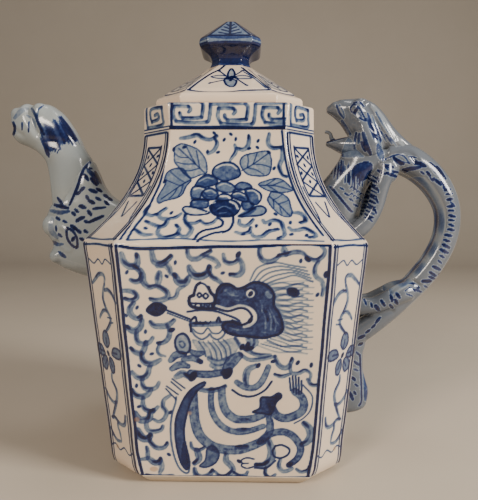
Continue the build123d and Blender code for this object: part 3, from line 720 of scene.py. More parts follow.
def peony_spray(canvas, du, dv):
    """The shoulder's peony, used again in the middle of the side walls."""
    canvas.du, canvas.dv = du, dv
    canvas.draw(PEONY)
    canvas.du = canvas.dv = 0.0


def paint_wall(side, half):
    """One flat wall of the body."""
    canvas = Canvas(-47, 47, 3, 109, seed=11 + side)
    if side in (0, 2):
        canvas.flip = side == 2
        lion_panel(canvas)
        canvas.flip = False
    else:
        scatter_scrolls(canvas, lambda v: half(v) - 3.5, 62, 105, 40 + side)
        scatter_scrolls(canvas, lambda v: half(v) - 3.5, 6, 26, 50 + side)
        peony_spray(canvas, 0.0, 20.0 if side == 1 else 22.0)
    borders(canvas, half, 4.5, 107.4, 1.15, front=side == 0)
    canvas.line([(-44, 106.8), (-36, 105.8), (-20, 106.2), (0, 106.8), (14, 107), (30, 108), (43, 107.6)],
                1.2, 0.9)
    canvas.line([(-39, 4.6), (-20, 4.2), (0, 4.6), (20, 4.2), (39, 4.6)], 0.5, 0.6)
    return canvas


def paint_corner(side, half):
    """One corner facet of the body: a flowering vine between scalloped ends."""
    canvas = Canvas(-15, 15, 3, 109, seed=31 + side)
    canvas.flip = side in (1, 3)
    canvas.draw(FACET_VINE)
    canvas.line([(-9, 99), (-5, 100.8), (-2, 98.6), (1, 100.6), (5, 98.6), (9, 100.4)], 0.55, 0.7)
    canvas.line([(-9, 14), (-5.4, 12.2), (-2, 14.4), (2, 12.4), (5.4, 14.4), (9, 12.8)], 0.55, 0.7)
    canvas.dot(4, 13.5, 1.1, channel="iron", tone=0.5)
    canvas.flip = False
    borders(canvas, half, 4.5, 107.4, 1.3, 1.5)
    borders(canvas, half, 4.5, 107.4, 3.2, 0.7)
    canvas.line([(-12.5, 106.8), (0, 107.2), (12.5, 106.6)], 0.8, 0.8)
    return canvas


def paint_shoulder(side):
    """One flat of the shoulder; v is 108 plus the way up the slope."""
    canvas = Canvas(-47, 47, 106, 168, seed=51 + side)
    canvas.dv = 108.0
    canvas.flip = side in (2, 3)
    canvas.draw(PEONY)
    canvas.draw(SHOULDER_BORDERS)
    return canvas


def paint_shoulder_corner(side, half):
    canvas = Canvas(-15, 15, 106, 168, seed=71 + side)
    canvas.flip = side in (0, 2)
    canvas.draw(LATTICE)
    canvas.flip = False
    for gap, width in ((1.2, 1.3), (2.9, 0.7)):
        borders(canvas, half, 110, 163, gap, width)
    canvas.line([(-12.5, 110), (0, 109.6), (12.5, 110)], 0.6, 0.75)
    return canvas


def paint_collar(side, facet):
    """The key pattern round the collar; v is the height."""
    canvas = Canvas(-30, 30, 157, 174, seed=91 + side + 4 * facet)
    if facet:
        canvas.draw("""
s 1.15 .95 .5 .1: -1 166.6, 1.4 166.8, 1.8 164.6, -3.4 163.8
s 1.15 .5 .9 .1: -3.4 163.8, -4.4 166, -4 169.4, 0 169.8, 4.6 169.4
s 1.15 .9 .5 .1: 4.6 169.4, 5 165, 4.6 161.6, -7 161.4
s 1.15 .5 .8 .1: -7 161.4, -7.6 166, -7.4 170.6
""")
        canvas.line([(-11, 160.2), (11, 160)], 0.5, 0.8)
        canvas.line([(-11, 158.8), (11, 158.6)], 0.5, 0.8)
        return canvas
    for shift, lift in ((0.0, 0.0), (20.2, -0.9), (40.2, -0.6)):
        canvas.du, canvas.dv = shift, lift
        canvas.draw(KEY_UNIT)
    canvas.du = canvas.dv = 0.0
    canvas.line([(-28, 159.2), (-14, 158.9), (0, 159), (14, 158.7), (28, 159.2)], 2.3, 0.97)
    canvas.line([(-25.2, 171.4), (-25.4, 166), (-25.3, 160)], 1.1, 0.9)
    canvas.line([(25.4, 171), (25.2, 166), (25.4, 160)], 1.1, 0.8)
    return canvas


def paint_lid(side, facet):
    """One panel of the lid; v is the way up the slope from the blue line."""
    canvas = Canvas(-26, 26, -10, 32, seed=111 + side + 4 * facet)
    if facet:
        canvas.draw("""
l .9 .85: -9 -1, 0 -2, 9 -1
f .12 .9 .8: -5.5 2, -3.4 9, 0 17, 3.4 9, 5.5 2, 0 .6
l .8 .9: 0 1, 0 15
l .7 .8: 0 4, -3.6 6
l .7 .8: 0 4, 3.6 6
l .7 .8: 0 8, -2.8 10
l .7 .8: 0 8, 2.8 10
l .8 .9: -8 0, -4.6 12, -2.4 22
l .8 .9: 8 0, 4.6 12, 2.4 22
""")
        return canvas
    canvas.draw(LID_PANEL)
    return canvas


def paint_knob(side, facet):
    """One panel of the knob; v is the height."""
    canvas = Canvas(-14, 14, 194, 222, seed=131 + side + 4 * facet)
    w = 11.0 if not facet else 5.0
    canvas.fill([(-14, 194), (14, 194), (14, 204.4), (-14, 204.4)], 0.62)
    canvas.fill([(-w * 0.55, 197), (w * 0.55, 197), (w * 0.7, 204), (-w * 0.7, 204)], 0.55)
    canvas.fill([(-14, 204), (14, 204), (14, 208.4), (-14, 208.4)], 0.26)
    canvas.fill([(-14, 208.4), (14, 208.4), (14, 222), (-14, 222)], 0.3)
    canvas.line([(-14, 204.2), (14, 204.2)], 1.0, 0.7)
    canvas.line([(-14, 208.7), (14, 208.7)], 1.0, 1.0)
    canvas.line([(0, 208.7), (0, 219.6)], 1.1, 1.0)
    for s in (-1, 1):
        canvas.line([(s * 0.93 * w, 209), (s * 0.17 * w, 219.6)], 1.2, 0.97)
        for k in range(4):
            z = 209.4 + 2.1 * k
            canvas.line([(s * 0.3, z), (s * w * (0.5 - 0.11 * k), z + 1.6)], 0.75, 0.95)
    return canvas


# ---------------------------------------------------------------------------------------------------------
# The body's surface. A level is (half width over the flats, half length of a flat), as in the CAD.

RIDGE = 1.9  # rounding of the upright ridges
ARC_STEPS = 3
FOOT, BASE, EDGE, NECK, RIM = 0.0, 4.3, 108.0, 158.4, 171.0
SLAB = 4.5
MITRE = math.sqrt(2) - 1


def soft_min(a, b, k=0.7):
    return -k * np.logaddexp(-a / k, -b / k)


def body_level(z):
    """Outside of the pot at height z: wall, shoulder and collar in one curve."""
    z = np.asarray(z, float)
    t = (z - BASE) / (EDGE - BASE)
    rise = np.clip(1 - (z - EDGE) / (NECK - EDGE), 0, 3) ** 2.1
    wide = soft_min(53.2 + 10.2 * t, 40.6 + 22.8 * rise)
    flat = soft_min(38.7 + 6.4 * t, 26.2 + 18.9 * rise)
    wide = np.where(z > NECK, 40.6 - 0.4 * (z - NECK) / 12.6, wide)
    flat = np.where(z > NECK, 26.2 + 1.2 * (z - NECK) / 12.6, flat)
    low = np.clip(1 - z / 9.0, 0, 1)
    flat = flat - 5.0 * low ** 2
    wide = wide - 2.8 * np.clip(1 - z / BASE, 0, 1) ** 1.3
    return wide, flat


def side_of(level, facet):
    """Distance from the axis and half length of one side of the octagon."""
    wide, flat = level
    if facet:
        return (wide + flat) / math.sqrt(2), (wide - flat) / math.sqrt(2)
    return wide, flat


def panel_frame(panel):
    """Outward and along directions of panel 0 to 7, from the front round by the handle."""
    a = math.radians(-90 + 45 * panel)
    return np.array([math.cos(a), math.sin(a)]), np.array([-math.sin(a), math.cos(a)])


def across(distance, half, radius, q):
    """Points across a side, q from -1 to 1 in three stretches: arc, straight, arc."""
    run = radius * MITRE * 0.4805  # tangent of 11.25 degrees over tangent of 22.5 degrees, times MITRE
    run = radius * math.tan(math.radians(22.5))
    flat = half - run
    turn = np.clip(np.abs(q) - 1, 0, 1) * math.radians(22.5)
    straight = np.clip(q, -1, 1) * flat
    u = straight + np.sign(q) * radius * np.sin(turn)
    n = distance - radius * (1 - np.cos(turn))
    return u, n


def across_steps(half, pitch):
    """q values: -2..-1 is the left arc, -1..1 the straight, 1..2 the right arc."""
    n = max(4, int(round(2 * half / pitch)))
    return np.concatenate([-2 + np.arange(ARC_STEPS) / ARC_STEPS, np.linspace(-1, 1, n + 1),
                           1 + (1 + np.arange(ARC_STEPS)) / ARC_STEPS])


def on_panel(panel, u, n, z):
    out, along = panel_frame(panel)
    return np.stack([n * out[0] + u * along[0], n * out[1] + u * along[1], z + 0 * u], -1)


def lean_out(x, z):
    """The pot isn't quite true: its spout side stands a little further out, most at the shoulder's edge."""
    most = np.interp(z, [0, 4.3, 60, 100, 108, 158.4], [0.5, 0.7, 1.2, 1.5, 1.9, 0])
    return x - most * np.clip(-x / 44.0, 0, 1)


def outside(panel, q, z, shift=0.0, radius=RIDGE):
    """Points of the body's outside for grids q and z."""
    level = body_level(z)
    distance, half = side_of(level, panel % 2)
    u, n = across(distance, half, radius, q)
    points = on_panel(panel, u, n + shift, z)
    points[..., 0] = lean_out(points[..., 0], points[..., 2])
    return points, points[..., 0] if panel == 0 else u


def grid_normals(func, q, z):
    e = 0.02
    dq = func(q + e, z) - func(q - e, z)
    dz = func(q, z + e) - func(q, z - e)
    n = np.cross(dq, dz)
    return n / np.linalg.norm(n, axis=-1, keepdims=True)


def mesh_piece(name, verts, faces, normals=None, paint=None, smooth=True):
    """A Blender mesh object from millimetre points and faces given as lists or (n, 4) arrays."""
    sizes, loops = [], []
    for block in faces:
        if isinstance(block, np.ndarray):
            sizes.append(np.full(len(block), block.shape[1]))
            loops.append(block.ravel())
        else:
            sizes.append(np.array([len(f) for f in block]))
            loops.append(np.array([v for f in block for v in f]))
    sizes, loops = np.concatenate(sizes), np.concatenate(loops).astype(np.int32)
    mesh = bpy.data.meshes.new(name)
    mesh.vertices.add(len(verts))
    mesh.vertices.foreach_set("co", to_row(verts).astype(np.float32).ravel())
    mesh.loops.add(len(loops))
    mesh.loops.foreach_set("vertex_index", loops)
    mesh.polygons.add(len(sizes))
    starts = np.concatenate([[0], np.cumsum(sizes)[:-1]]).astype(np.int32)
    mesh.polygons.foreach_set("loop_start", starts)
    mesh.update(calc_edges=True)
    mesh.polygons.foreach_set("use_smooth", np.full(len(sizes), smooth))
    if paint is not None:
        layer = mesh.attributes.new("paint", "FLOAT_COLOR", "POINT")
        layer.data.foreach_set("color", np.asarray(paint, np.float32).ravel())
    if normals is not None:
        mesh.normals_split_custom_set_from_vertices(normals)
    obj = bpy.data.objects.new(name, mesh)
    bpy.context.scene.collection.objects.link(obj)
    return obj


def grid_faces(rows, cols, first=0, turned=False):
    """Quads of a grid of rows x cols points."""
    k = first + np.arange(rows * cols).reshape(rows, cols)
    a, b, c, d = k[:-1, :-1], k[:-1, 1:], k[1:, 1:], k[1:, :-1]
    quads = np.stack([a, b, c, d] if not turned else [a, d, c, b], -1)
    return quads.reshape(-1, 4)


def rim_faces(rows, cols, step, inner_first):
    """Many-sided faces that join a fine grid's border to a coarse grid's border behind it."""
    fine = np.arange(rows * cols).reshape(rows, cols)
    in_rows, in_cols = (rows - 1) // step + 1, (cols - 1) // step + 1
    coarse = inner_first + np.arange(in_rows * in_cols).reshape(in_rows, in_cols)
    out = []
    for i in range(in_cols - 1):
        s = i * step
        out.append(list(fine[0, s:s + step + 1][::-1]) + [coarse[0, i], coarse[0, i + 1]])
        out.append(list(fine[-1, s:s + step + 1]) + [coarse[-1, i + 1], coarse[-1, i]])
    for j in range(in_rows - 1):
        s = j * step
        out.append(list(fine[s:s + step + 1, -1][::-1]) + [coarse[j, -1], coarse[j + 1, -1]])
        out.append(list(fine[s:s + step + 1, 0]) + [coarse[j + 1, 0], coarse[j, 0]])
    return out


def to_multiple(n, step):
    return int(math.ceil(n / step)) * step


def body_slab(name, panel, z0, z1, canvas, v_of_z, pitch, step=8, hole=None):
    """One clay slab of the body: a fine painted outside, a coarse inside, closed at its edges."""
    level = body_level((z0 + z1) / 2)
    half = side_of(level, panel % 2)[1]
    n = to_multiple(2 * half / pitch + 2 * ARC_STEPS, step) - 2 * ARC_STEPS
    q = np.concatenate([-2 + np.arange(ARC_STEPS) / ARC_STEPS, np.linspace(-1, 1, n + 1),
                        1 + (1 + np.arange(ARC_STEPS)) / ARC_STEPS])
    rows = to_multiple((z1 - z0) / pitch, step) + 1
    z = np.linspace(z0, z1, rows)
    Q, Z = np.meshgrid(q, z)
    if hole:
        hu, hz, hr = hole
    points, U = outside(panel, Q, Z)
    normals = grid_normals(lambda a, b: outside(panel, a, b)[0], Q, Z)
    cols = len(q)
    wide, flat = body_level(Z[::step, ::step])
    distance, length = side_of((wide - SLAB, flat - SLAB * MITRE), panel % 2)
    u = length * np.linspace(-1, 1, (cols - 1) // step + 1)[None, :]
    inner = on_panel(panel, u, distance, Z[::step, ::step])
    inner[..., 0] = lean_out(inner[..., 0], inner[..., 2])
    verts = np.vstack([points.reshape(-1, 3), inner.reshape(-1, 3)])
    out, _ = panel_frame(panel)
    back = np.tile(np.append(-out, 0.0), (inner.size // 3, 1))
    faces = [grid_faces(rows, cols), grid_faces(*inner.shape[:2], first=rows * cols, turned=True)]
    faces.append(rim_faces(rows, cols, step, rows * cols))
    paint = np.zeros((len(verts), 4))
    paint[:, 3] = 1
    paint[:rows * cols] = canvas.read(U, v_of_z(Z))
    return mesh_piece(name, verts, faces, np.vstack([normals.reshape(-1, 3), back]), paint)


def slope_length(z):
    """Length up the shoulder's slope from its edge, in mm."""
    steps = np.linspace(EDGE, NECK, 200)
    wide, _ = body_level(steps)
    run = np.concatenate([[0], np.cumsum(np.hypot(np.diff(wide), np.diff(steps)))])
    return np.interp(z, steps, run)


SIDES = ("front", "right", "back", "left")
CORNERS = ("front_right", "back_right", "back_left", "front_left")
painted = []
for side in range(4):
    def half_wall(z, facet):
        return float(side_of(body_level(z), facet)[1])

    def half_slope(v, facet):
        z = np.interp(v - EDGE, slope_length(np.linspace(EDGE, NECK, 60)), np.linspace(EDGE, NECK, 60))
        return float(side_of(body_level(z), facet)[1])

    fine = 0.4 if side == 0 else 0.5
    wall = paint_wall(side, lambda z: half_wall(z, 0))
    painted.append(body_slab(f"wall_{SIDES[side]}_painted", 2 * side, BASE, EDGE, wall, lambda z: z, fine))
    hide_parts(f"wall_{SIDES[side]}")
    facet = paint_corner(side, lambda z: half_wall(z, 1))
    painted.append(body_slab(f"corner_{CORNERS[side]}_painted", 2 * side + 1, BASE, EDGE, facet,
                             lambda z: z, 0.45))
    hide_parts(f"corner_{CORNERS[side]}")
    slope = paint_shoulder(side)
    painted.append(body_slab(f"shoulder_{SIDES[side]}_painted", 2 * side, EDGE, NECK, slope,
                             lambda z: EDGE + slope_length(z), fine))
    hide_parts(f"shoulder_{SIDES[side]}")
    slope = paint_shoulder_corner(side, lambda v: half_slope(v, 1))
    painted.append(body_slab(f"shoulder_corner_{CORNERS[side]}_painted", 2 * side + 1, EDGE, NECK, slope,
                             lambda z: EDGE + slope_length(z), 0.45))
    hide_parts(f"shoulder_corner_{CORNERS[side]}")
for obj in painted:
    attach(obj, "pot")


# ---------------------------------------------------------------------------------------------------------
# Rings and solids turned round the octagon: foot, collar, lid and knob.


def outline(wide, flat, radius, pitch_count):
    """Points once round a rounded octagon, with each point's panel and place along it."""
    xy, panel_no, along = [], [], []
    for panel in range(8):
        distance, half = side_of((wide, flat), panel % 2)
        n = pitch_count[panel % 2]
        q = np.concatenate([-2 + np.arange(ARC_STEPS) / ARC_STEPS, np.linspace(-1, 1, n + 1),
                            1 + np.arange(1, ARC_STEPS) / ARC_STEPS])
        r = min(radius, 0.9 * half / math.tan(math.radians(22.5)))
        u, d = across(distance, half, r, q)
        xy.append(on_panel(panel, u, d, np.zeros_like(u))[:, :2])
        panel_no.append(np.full(len(q), panel))
        along.append(u)
    return np.vstack(xy), np.concatenate(panel_no), np.concatenate(along)


def turned(name, rows, count, canvases=None, v_of_row=None, closed_ring=False, painted_rows=None):
    """A solid swept round the octagon. rows are (z, wide, flat, radius); it closes on itself, or at a point
    at each end."""
    loops = [outline(w, f, r, count) for _, w, f, r in rows]
    cols = len(loops[0][0])
    grid = np.stack([np.column_stack([xy, np.full(cols, z)]) for (z, *_), (xy, _, _) in zip(rows, loops)])
    verts = grid.reshape(-1, 3)
    k = np.arange(len(rows) * cols).reshape(len(rows), cols)
    k = np.concatenate([k, k[:, :1]], axis=1)
    if closed_ring:
        k = np.concatenate([k, k[:1]], axis=0)
    a, b, c, d = k[:-1, :-1], k[:-1, 1:], k[1:, 1:], k[1:, :-1]
    faces = [np.stack([a, b, c, d], -1).reshape(-1, 4)]
    if not closed_ring:
        start, end = len(verts), len(verts) + 1
        verts = np.vstack([verts, [[0, 0, rows[0][0]], [0, 0, rows[-1][0]]]])
        first, last = k[0], k[-1]
        faces.append(np.stack([first[1:], first[:-1], np.full(cols, start)], -1))
        faces.append(np.stack([last[:-1], last[1:], np.full(cols, end)], -1))
    paint = np.zeros((len(verts), 4))
    paint[:, 3] = 1
    if canvases:
        for i, ((z, w, f, r), (_, panel_no, u)) in enumerate(zip(rows, loops)):
            if painted_rows is not None and not painted_rows[i]:
                continue
            v = v_of_row[i]
            for panel in range(8):
                pick = panel_no == panel
                paint[np.flatnonzero(pick) + i * cols] = canvases[panel].read(u[pick],
                                                                            np.full(pick.sum(), v))
    return mesh_piece(name, verts, faces, None, paint)


def rounded(points, radius, steps=4):
    """Rounds the inner corners of a (z, wide, flat) profile; radius may be one number or one per corner."""
    p = [np.array(q, float) for q in points]
    out = [p[0]]
    for k in range(1, len(p) - 1):
        r = radius[k] if isinstance(radius, (list, tuple)) else radius
        a, b, c = p[k - 1], p[k], p[k + 1]
        ra = min(r, 0.45 * np.linalg.norm((a - b)[:2]))
        rc = min(r, 0.45 * np.linalg.norm((c - b)[:2]))
        if min(ra, rc) < 0.05:
            out.append(b)
            continue
        start = b + (a - b) / np.linalg.norm((a - b)[:2]) * ra
        end = b + (c - b) / np.linalg.norm((c - b)[:2]) * rc
        for t in np.linspace(0, 1, steps + 1):
            out.append((1 - t) ** 2 * start + 2 * t * (1 - t) * b + t ** 2 * end)
    out.append(p[-1])
    return out


def filled(points, pitch):
    """Adds rows so that none are further apart than pitch."""
    out = [points[0]]
    for a, b in zip(points[:-1], points[1:]):
        n = max(1, int(math.ceil(np.linalg.norm((b - a)[:2]) / pitch)))
        out += [a + (b - a) * t / n for t in range(1, n + 1)]
    return out


# Foot ring: bare sole, and an outside that is glazed on the pot, with the recess under the floor; here the whole
# ring gets the bare porcelain material
w0, f0 = body_level(0.0)
w1, f1 = body_level(BASE)
ring = 6.5
profile = [(0.0, w0 - ring + 1, f0 - (ring - 1) * MITRE), (0.0, float(w0), float(f0)),
           (2.0, *map(float, body_level(2.0))), (BASE, float(w1), float(f1)),
           (BASE, w0 - ring, f0 - ring * MITRE), (0.0, w0 - ring, f0 - ring * MITRE),
           (0.0, w0 - ring + 1, f0 - (ring - 1) * MITRE)]
profile = filled(rounded(profile, [0, 1.1, 0.8, 0.0, 0.0, 0.6, 0]), 1.2)[:-1]
foot = turned("foot_ring_bevelled", [(*p, RIDGE) for p in profile], (60, 14), closed_ring=True)
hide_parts("foot_ring")
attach(foot, "pot")

# Collar: the key pattern outside, a rounded lip, the ledge and the mouth
w0, f0 = map(float, body_level(NECK))
w1, f1 = map(float, body_level(RIM))
mouth_w, mouth_f = 40.6 - 8.9, 26.2 - 8.9 * MITRE
profile = [(NECK, w0 - 4, f0 - 4 * MITRE), (NECK, w0, f0), (RIM, w1, f1), (RIM, mouth_w, mouth_f),
           (NECK, mouth_w, mouth_f), (NECK, w0 - 4, f0 - 4 * MITRE)]
profile = filled(rounded(profile, [0, 0.02, 1.7, 1.2, 0.4, 0], 5), 0.42)[:-1]
rows = [(*p, RIDGE) for p in profile]
canvases = [paint_collar(k // 2, k % 2) for k in range(8)]
outer = [abs(p[1] - float(body_level(min(p[0], 170.9))[0])) < 1.9 and p[1] > mouth_w + 5 for p in profile]
collar = turned("collar_painted", rows, (130, 48), canvases, [p[0] for p in profile], True, outer)
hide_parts("collar")
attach(collar, "pot")

# Lid: rolled rim, painted pyramid, hollow underneath
LID_FOOT, LID_LINE, LID_TOP = 171.2, (178.9, 31.3, 19.6), (195.5, 10.2, 5.6)
under_w, under_f = 40.6 - 8.9 - 0.9 - 3.4, 26.2 - (8.9 + 0.9 + 3.4) * MITRE
profile = [(190.4, 4.0, 2.8), (190.4, 10.0, 7.0), (178.9, 24.9, 16.9), (LID_FOOT, under_w, under_f),
           (LID_FOOT, 35.4, 22.2), (LID_FOOT + 3.6, 35.5, 22.3), (LID_FOOT + 5.0, 34.6, 21.8),
           (177.6, 31.9, 20.0), LID_LINE, LID_TOP, (195.5, 4.0, 2.2)]
profile = filled(rounded(profile, [0, 2, 2, 1, 1.7, 1.7, 1.6, 1.3, 1.2, 0.8, 0], 5), 0.42)
profile = [p for k, p in enumerate(profile) if k == 0 or np.linalg.norm(p - profile[k - 1]) > 1e-4]
slope = math.hypot(LID_TOP[0] - LID_LINE[0], LID_LINE[1] - LID_TOP[1]) / (LID_TOP[0] - LID_LINE[0])
above = [p[0] > 177.0 and k > len(profile) / 2 for k, p in enumerate(profile)]
canvases = [paint_lid(k // 2, k % 2) for k in range(8)]
lid = turned("lid_painted", [(*p, 1.3) for p in profile], (110, 46), canvases,
             [(p[0] - LID_LINE[0]) * slope if p[0] > LID_LINE[0] else (p[0] - LID_LINE[0]) * 1.6
              for p in profile], False, above)
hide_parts("lid_cover")
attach(lid, "lid")

# Knob: a faceted bud on a waist
profile = [(195.3, 3.0, 1.8), (195.3, 10.4, 5.9), (196.6, 9.8, 5.6), (198.8, 9.2, 5.4), (201.4, 10.6, 6.8),
           (203.8, 14.8, 10.4), (206.0, 15.7, 11.2), (208.3, 15.1, 11.0), (209.5, 13.8, 10.2), (219.4, 2.8, 2.0), (220.0, 1.4, 1.0)]
profile = filled(rounded(profile, [0, 0.5, 2, 2.4, 2.0, 1.6, 1.2, 1.0, 0.8, 0], 4), 0.42)
canvases = [paint_knob(k // 2, k % 2) for k in range(8)]
knob = turned("knob_faceted", [(*p, 1.1) for p in profile], (50, 18), canvases, [p[0] for p in profile])
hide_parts("lid_knob")
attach(knob, "lid")


# ---------------------------------------------------------------------------------------------------------
# Modelled pieces: spout and handle. Forms are joined as clay would be, remeshed into one skin, then creased
# and painted from the side.


def eased(t, y, at):
    """Smooth interpolation through (t, y) that doesn't overshoot."""
    t, y = np.asarray(t, float), np.asarray(y, float)
    h, d = np.diff(t), np.diff(y) / np.diff(t)
    m = np.zeros_like(y)
    same = d[:-1] * d[1:] > 0
    m[1:-1][same] = 2 * d[:-1][same] * d[1:][same] / (d[:-1] + d[1:])[same]
    m[0], m[-1] = d[0], d[-1]
    k = np.clip(np.searchsorted(t, at) - 1, 0, len(h) - 1)
    s = (at - t[k]) / h[k]
    return (y[k] * (1 + 2 * s) * (1 - s) ** 2 + m[k] * h[k] * s * (1 - s) ** 2
            + y[k + 1] * s * s * (3 - 2 * s) + m[k + 1] * h[k] * s * s * (s - 1))


def skin(rings):
    """Closed tube from rings of points, with a point in the middle of each end."""
    rings = np.asarray(rings)
    n, cols = rings.shape[:2]
    k = np.arange(n * cols).reshape(n, cols)
    k = np.concatenate([k, k[:, :1]], axis=1)
    quads = np.stack([k[:-1, :-1], k[:-1, 1:], k[1:, 1:], k[1:, :-1]], -1).reshape(-1, 4)
    faces = [list(q) for q in quads]
    ends = n * cols + np.arange(2)
    faces += [[ends[0], k[0, c + 1], k[0, c]] for c in range(cols)]
    faces += [[ends[1], k[-1, c], k[-1, c + 1]] for c in range(cols)]
    verts = np.vstack([rings.reshape(-1, 3), rings[0].mean(0), rings[-1].mean(0)])
    return verts, faces


def round_angles(count=40):
    return np.linspace(0, 2 * math.pi, count, endpoint=False)


def stacked(sections, y=0.0, lying=False, square=0.9):
    """Ellipses one above the other: (z, x0, x1, half depth). lying: one behind the other, (x, z0, z1, ...)."""
    s = np.array(sections, float)
    at = np.linspace(s[0, 0], s[-1, 0], int((s[-1, 0] - s[0, 0]) / 1.0) + 2)
    lo_, hi_, deep = (eased(s[:, 0], s[:, k], at) for k in (1, 2, 3))
    a = round_angles()
    c = np.sign(np.cos(a)) * np.abs(np.cos(a)) ** square
    d = np.sign(np.sin(a)) * np.abs(np.sin(a)) ** square
    mid, half = ((lo_ + hi_) / 2)[:, None], ((hi_ - lo_) / 2)[:, None]
    first = mid + half * c
    depth = y + deep[:, None] * d
    level = np.repeat(at[:, None], len(a), 1)
    rings = np.stack([level, depth, first] if lying else [first, depth, level], -1)
    return skin(rings[:, ::-1] if lying else rings)


def limb(points, section=None):
    """A limb along (x, y, z, radius) points; section gives (outward, sideways) factors for each angle."""
    p = curve_through(points, step=1.2)
    t = np.gradient(p[:, :3], axis=0)
    t /= np.linalg.norm(t, axis=1, keepdims=True)
    side_way = np.array([0.0, 1.0, 0.0])
    out = np.cross(t, side_way)
    out /= np.linalg.norm(out, axis=1, keepdims=True)
    a = round_angles()
    f, g = (np.cos(a), np.sin(a)) if section is None else section(a)
    across_ = np.cross(t, out)
    rings = (p[:, None, :3] + p[:, None, 3:4] * (f[None, :, None] * out[:, None, :]
                                                 + g[None, :, None] * across_[:, None, :]))
    return skin(rings)


def ball(x, y, z, rx, ry=None, rz=None):
    ry, rz = ry or rx, rz or rx
    lat = np.linspace(-math.pi / 2, math.pi / 2, 14)[1:-1]
    a = round_angles(28)
    rings = [np.stack([x + rx * math.cos(b) * np.cos(a), y + ry * math.cos(b) * np.sin(a),
                       np.full(len(a), z + rz * math.sin(b))], -1) for b in lat]
    return skin(rings)


def raw_object(name, parts):
    verts, faces, first = [], [], 0
    for v, f in parts:
        verts.append(v)
        faces += [[int(i) + first for i in face] for face in f]
        first += len(v)
    mesh = bpy.data.meshes.new(name)
    mesh.from_pydata(to_row(np.vstack(verts)).tolist(), [], faces)
    obj = bpy.data.objects.new(name, mesh)
    bpy.context.scene.collection.objects.link(obj)
    bm = bmesh.new()
    bm.from_mesh(mesh)
    bmesh.ops.recalc_face_normals(bm, faces=bm.faces)
    bm.to_mesh(mesh)
    bm.free()
    return obj


def apply_modifier(obj):
    """Takes the modified mesh as the object's own."""
    mesh = bpy.data.meshes.new_from_object(obj.evaluated_get(bpy.context.evaluated_depsgraph_get()))
    obj.modifiers.clear()
    obj.data = mesh


def remesh(obj, voxel):
    mod = obj.modifiers.new("skin", "REMESH")
    mod.mode = "VOXEL"
    mod.voxel_size = voxel * 0.001
    mod.adaptivity = 0.0
    apply_modifier(obj)


def relax(points, edges, rounds, weight=0.5):
    """Laplacian smoothing."""
    count = np.bincount(edges.ravel(), minlength=len(points))[:, None]
    for _ in range(rounds):
        total = np.zeros_like(points)
        for a, b in ((0, 1), (1, 0)):
            for k in range(3):
                total[:, k] += np.bincount(edges[:, a], points[edges[:, b], k], minlength=len(points))
        points = points + weight * (total / np.maximum(count, 1) - points)
    return points


def mesh_arrays(mesh):
    co = np.empty(len(mesh.vertices) * 3, np.float32)
    mesh.vertices.foreach_get("co", co)
    edges = np.empty(len(mesh.edges) * 2, np.int32)
    mesh.edges.foreach_get("vertices", edges)
    return co.reshape(-1, 3).astype(float), edges.reshape(-1, 2)


def vertex_normals(mesh):
    out = np.empty(len(mesh.vertices) * 3, np.float32)
    mesh.vertex_normals.foreach_get("vector", out)
    return out.reshape(-1, 3).astype(float)


def distance_to(curve, x, z):
    best = np.full(len(x), 1e9)
    for a, b in curve_through(curve, step=0.5):
        best = np.minimum(best, (x - a) ** 2 + (z - b) ** 2)
    return np.sqrt(best)


def sculpt(name, parts, voxel=0.6, rounds=6, cuts=(), creases=()):
    """Joins the parts into one skin. creases are (points in x and z, width, depth): negative is a ridge."""
    obj = raw_object(name, parts)
    remesh(obj, voxel)
    points, edges = mesh_arrays(obj.data)
    obj.data.vertices.foreach_set("co", relax(points, edges, rounds).astype(np.float32).ravel())
    obj.data.update()
    if cuts:
        tool = raw_object(name + "_cut", cuts)
        remesh(tool, voxel)
        mod = obj.modifiers.new("cut", "BOOLEAN")
        mod.operation, mod.solver, mod.object = "DIFFERENCE", "EXACT", tool
        apply_modifier(obj)
        bpy.data.objects.remove(tool)
        remesh(obj, voxel)
        points, edges = mesh_arrays(obj.data)
        obj.data.vertices.foreach_set("co", relax(points, edges, 2).astype(np.float32).ravel())
        obj.data.update()
    points, edges = mesh_arrays(obj.data)
    if creases:
        normals = vertex_normals(obj.data)
        x, z = points[:, 0] * 1000 - AXIS_X, points[:, 2] * 1000
        depth = np.zeros(len(x))
        for curve, width, deep in creases:
            depth -= deep * np.exp(-(distance_to(curve, x, z) / (0.5 * width)) ** 2)
        depth *= np.clip(np.abs(normals[:, 1]) * 1.6, 0.25, 1)
        points = relax(points + normals * depth[:, None] * 0.001, edges, 1)
        obj.data.vertices.foreach_set("co", points.astype(np.float32).ravel())
        obj.data.update()
    obj.data.polygons.foreach_set("use_smooth", np.full(len(obj.data.polygons), True))
    return obj


VIEW_FROM = (10.1, -289.0, 118.3)  # the brushwork was laid out as seen from here, on the pot's middle plane


def paint_sides(obj, canvas, extra=None):
    """Reads the side view's brushwork onto both sides of a modelled piece."""
    points, _ = mesh_arrays(obj.data)
    x, y, z = points[:, 0] * 1000 - AXIS_X, points[:, 1] * 1000, points[:, 2] * 1000
    nearer = VIEW_FROM[1] / (VIEW_FROM[1] + np.abs(y))
    paint = canvas.read(VIEW_FROM[0] + (x - VIEW_FROM[0]) * nearer, VIEW_FROM[2] + (z - VIEW_FROM[2]) * nearer)
    if extra:
        extra(x, y, z, vertex_normals(obj.data), paint)
    layer = obj.data.attributes.new("paint", "FLOAT_COLOR", "POINT")
    layer.data.foreach_set("color", paint.astype(np.float32).ravel())


# Spout: the lower beast, and the neck and head that rise from its mouth

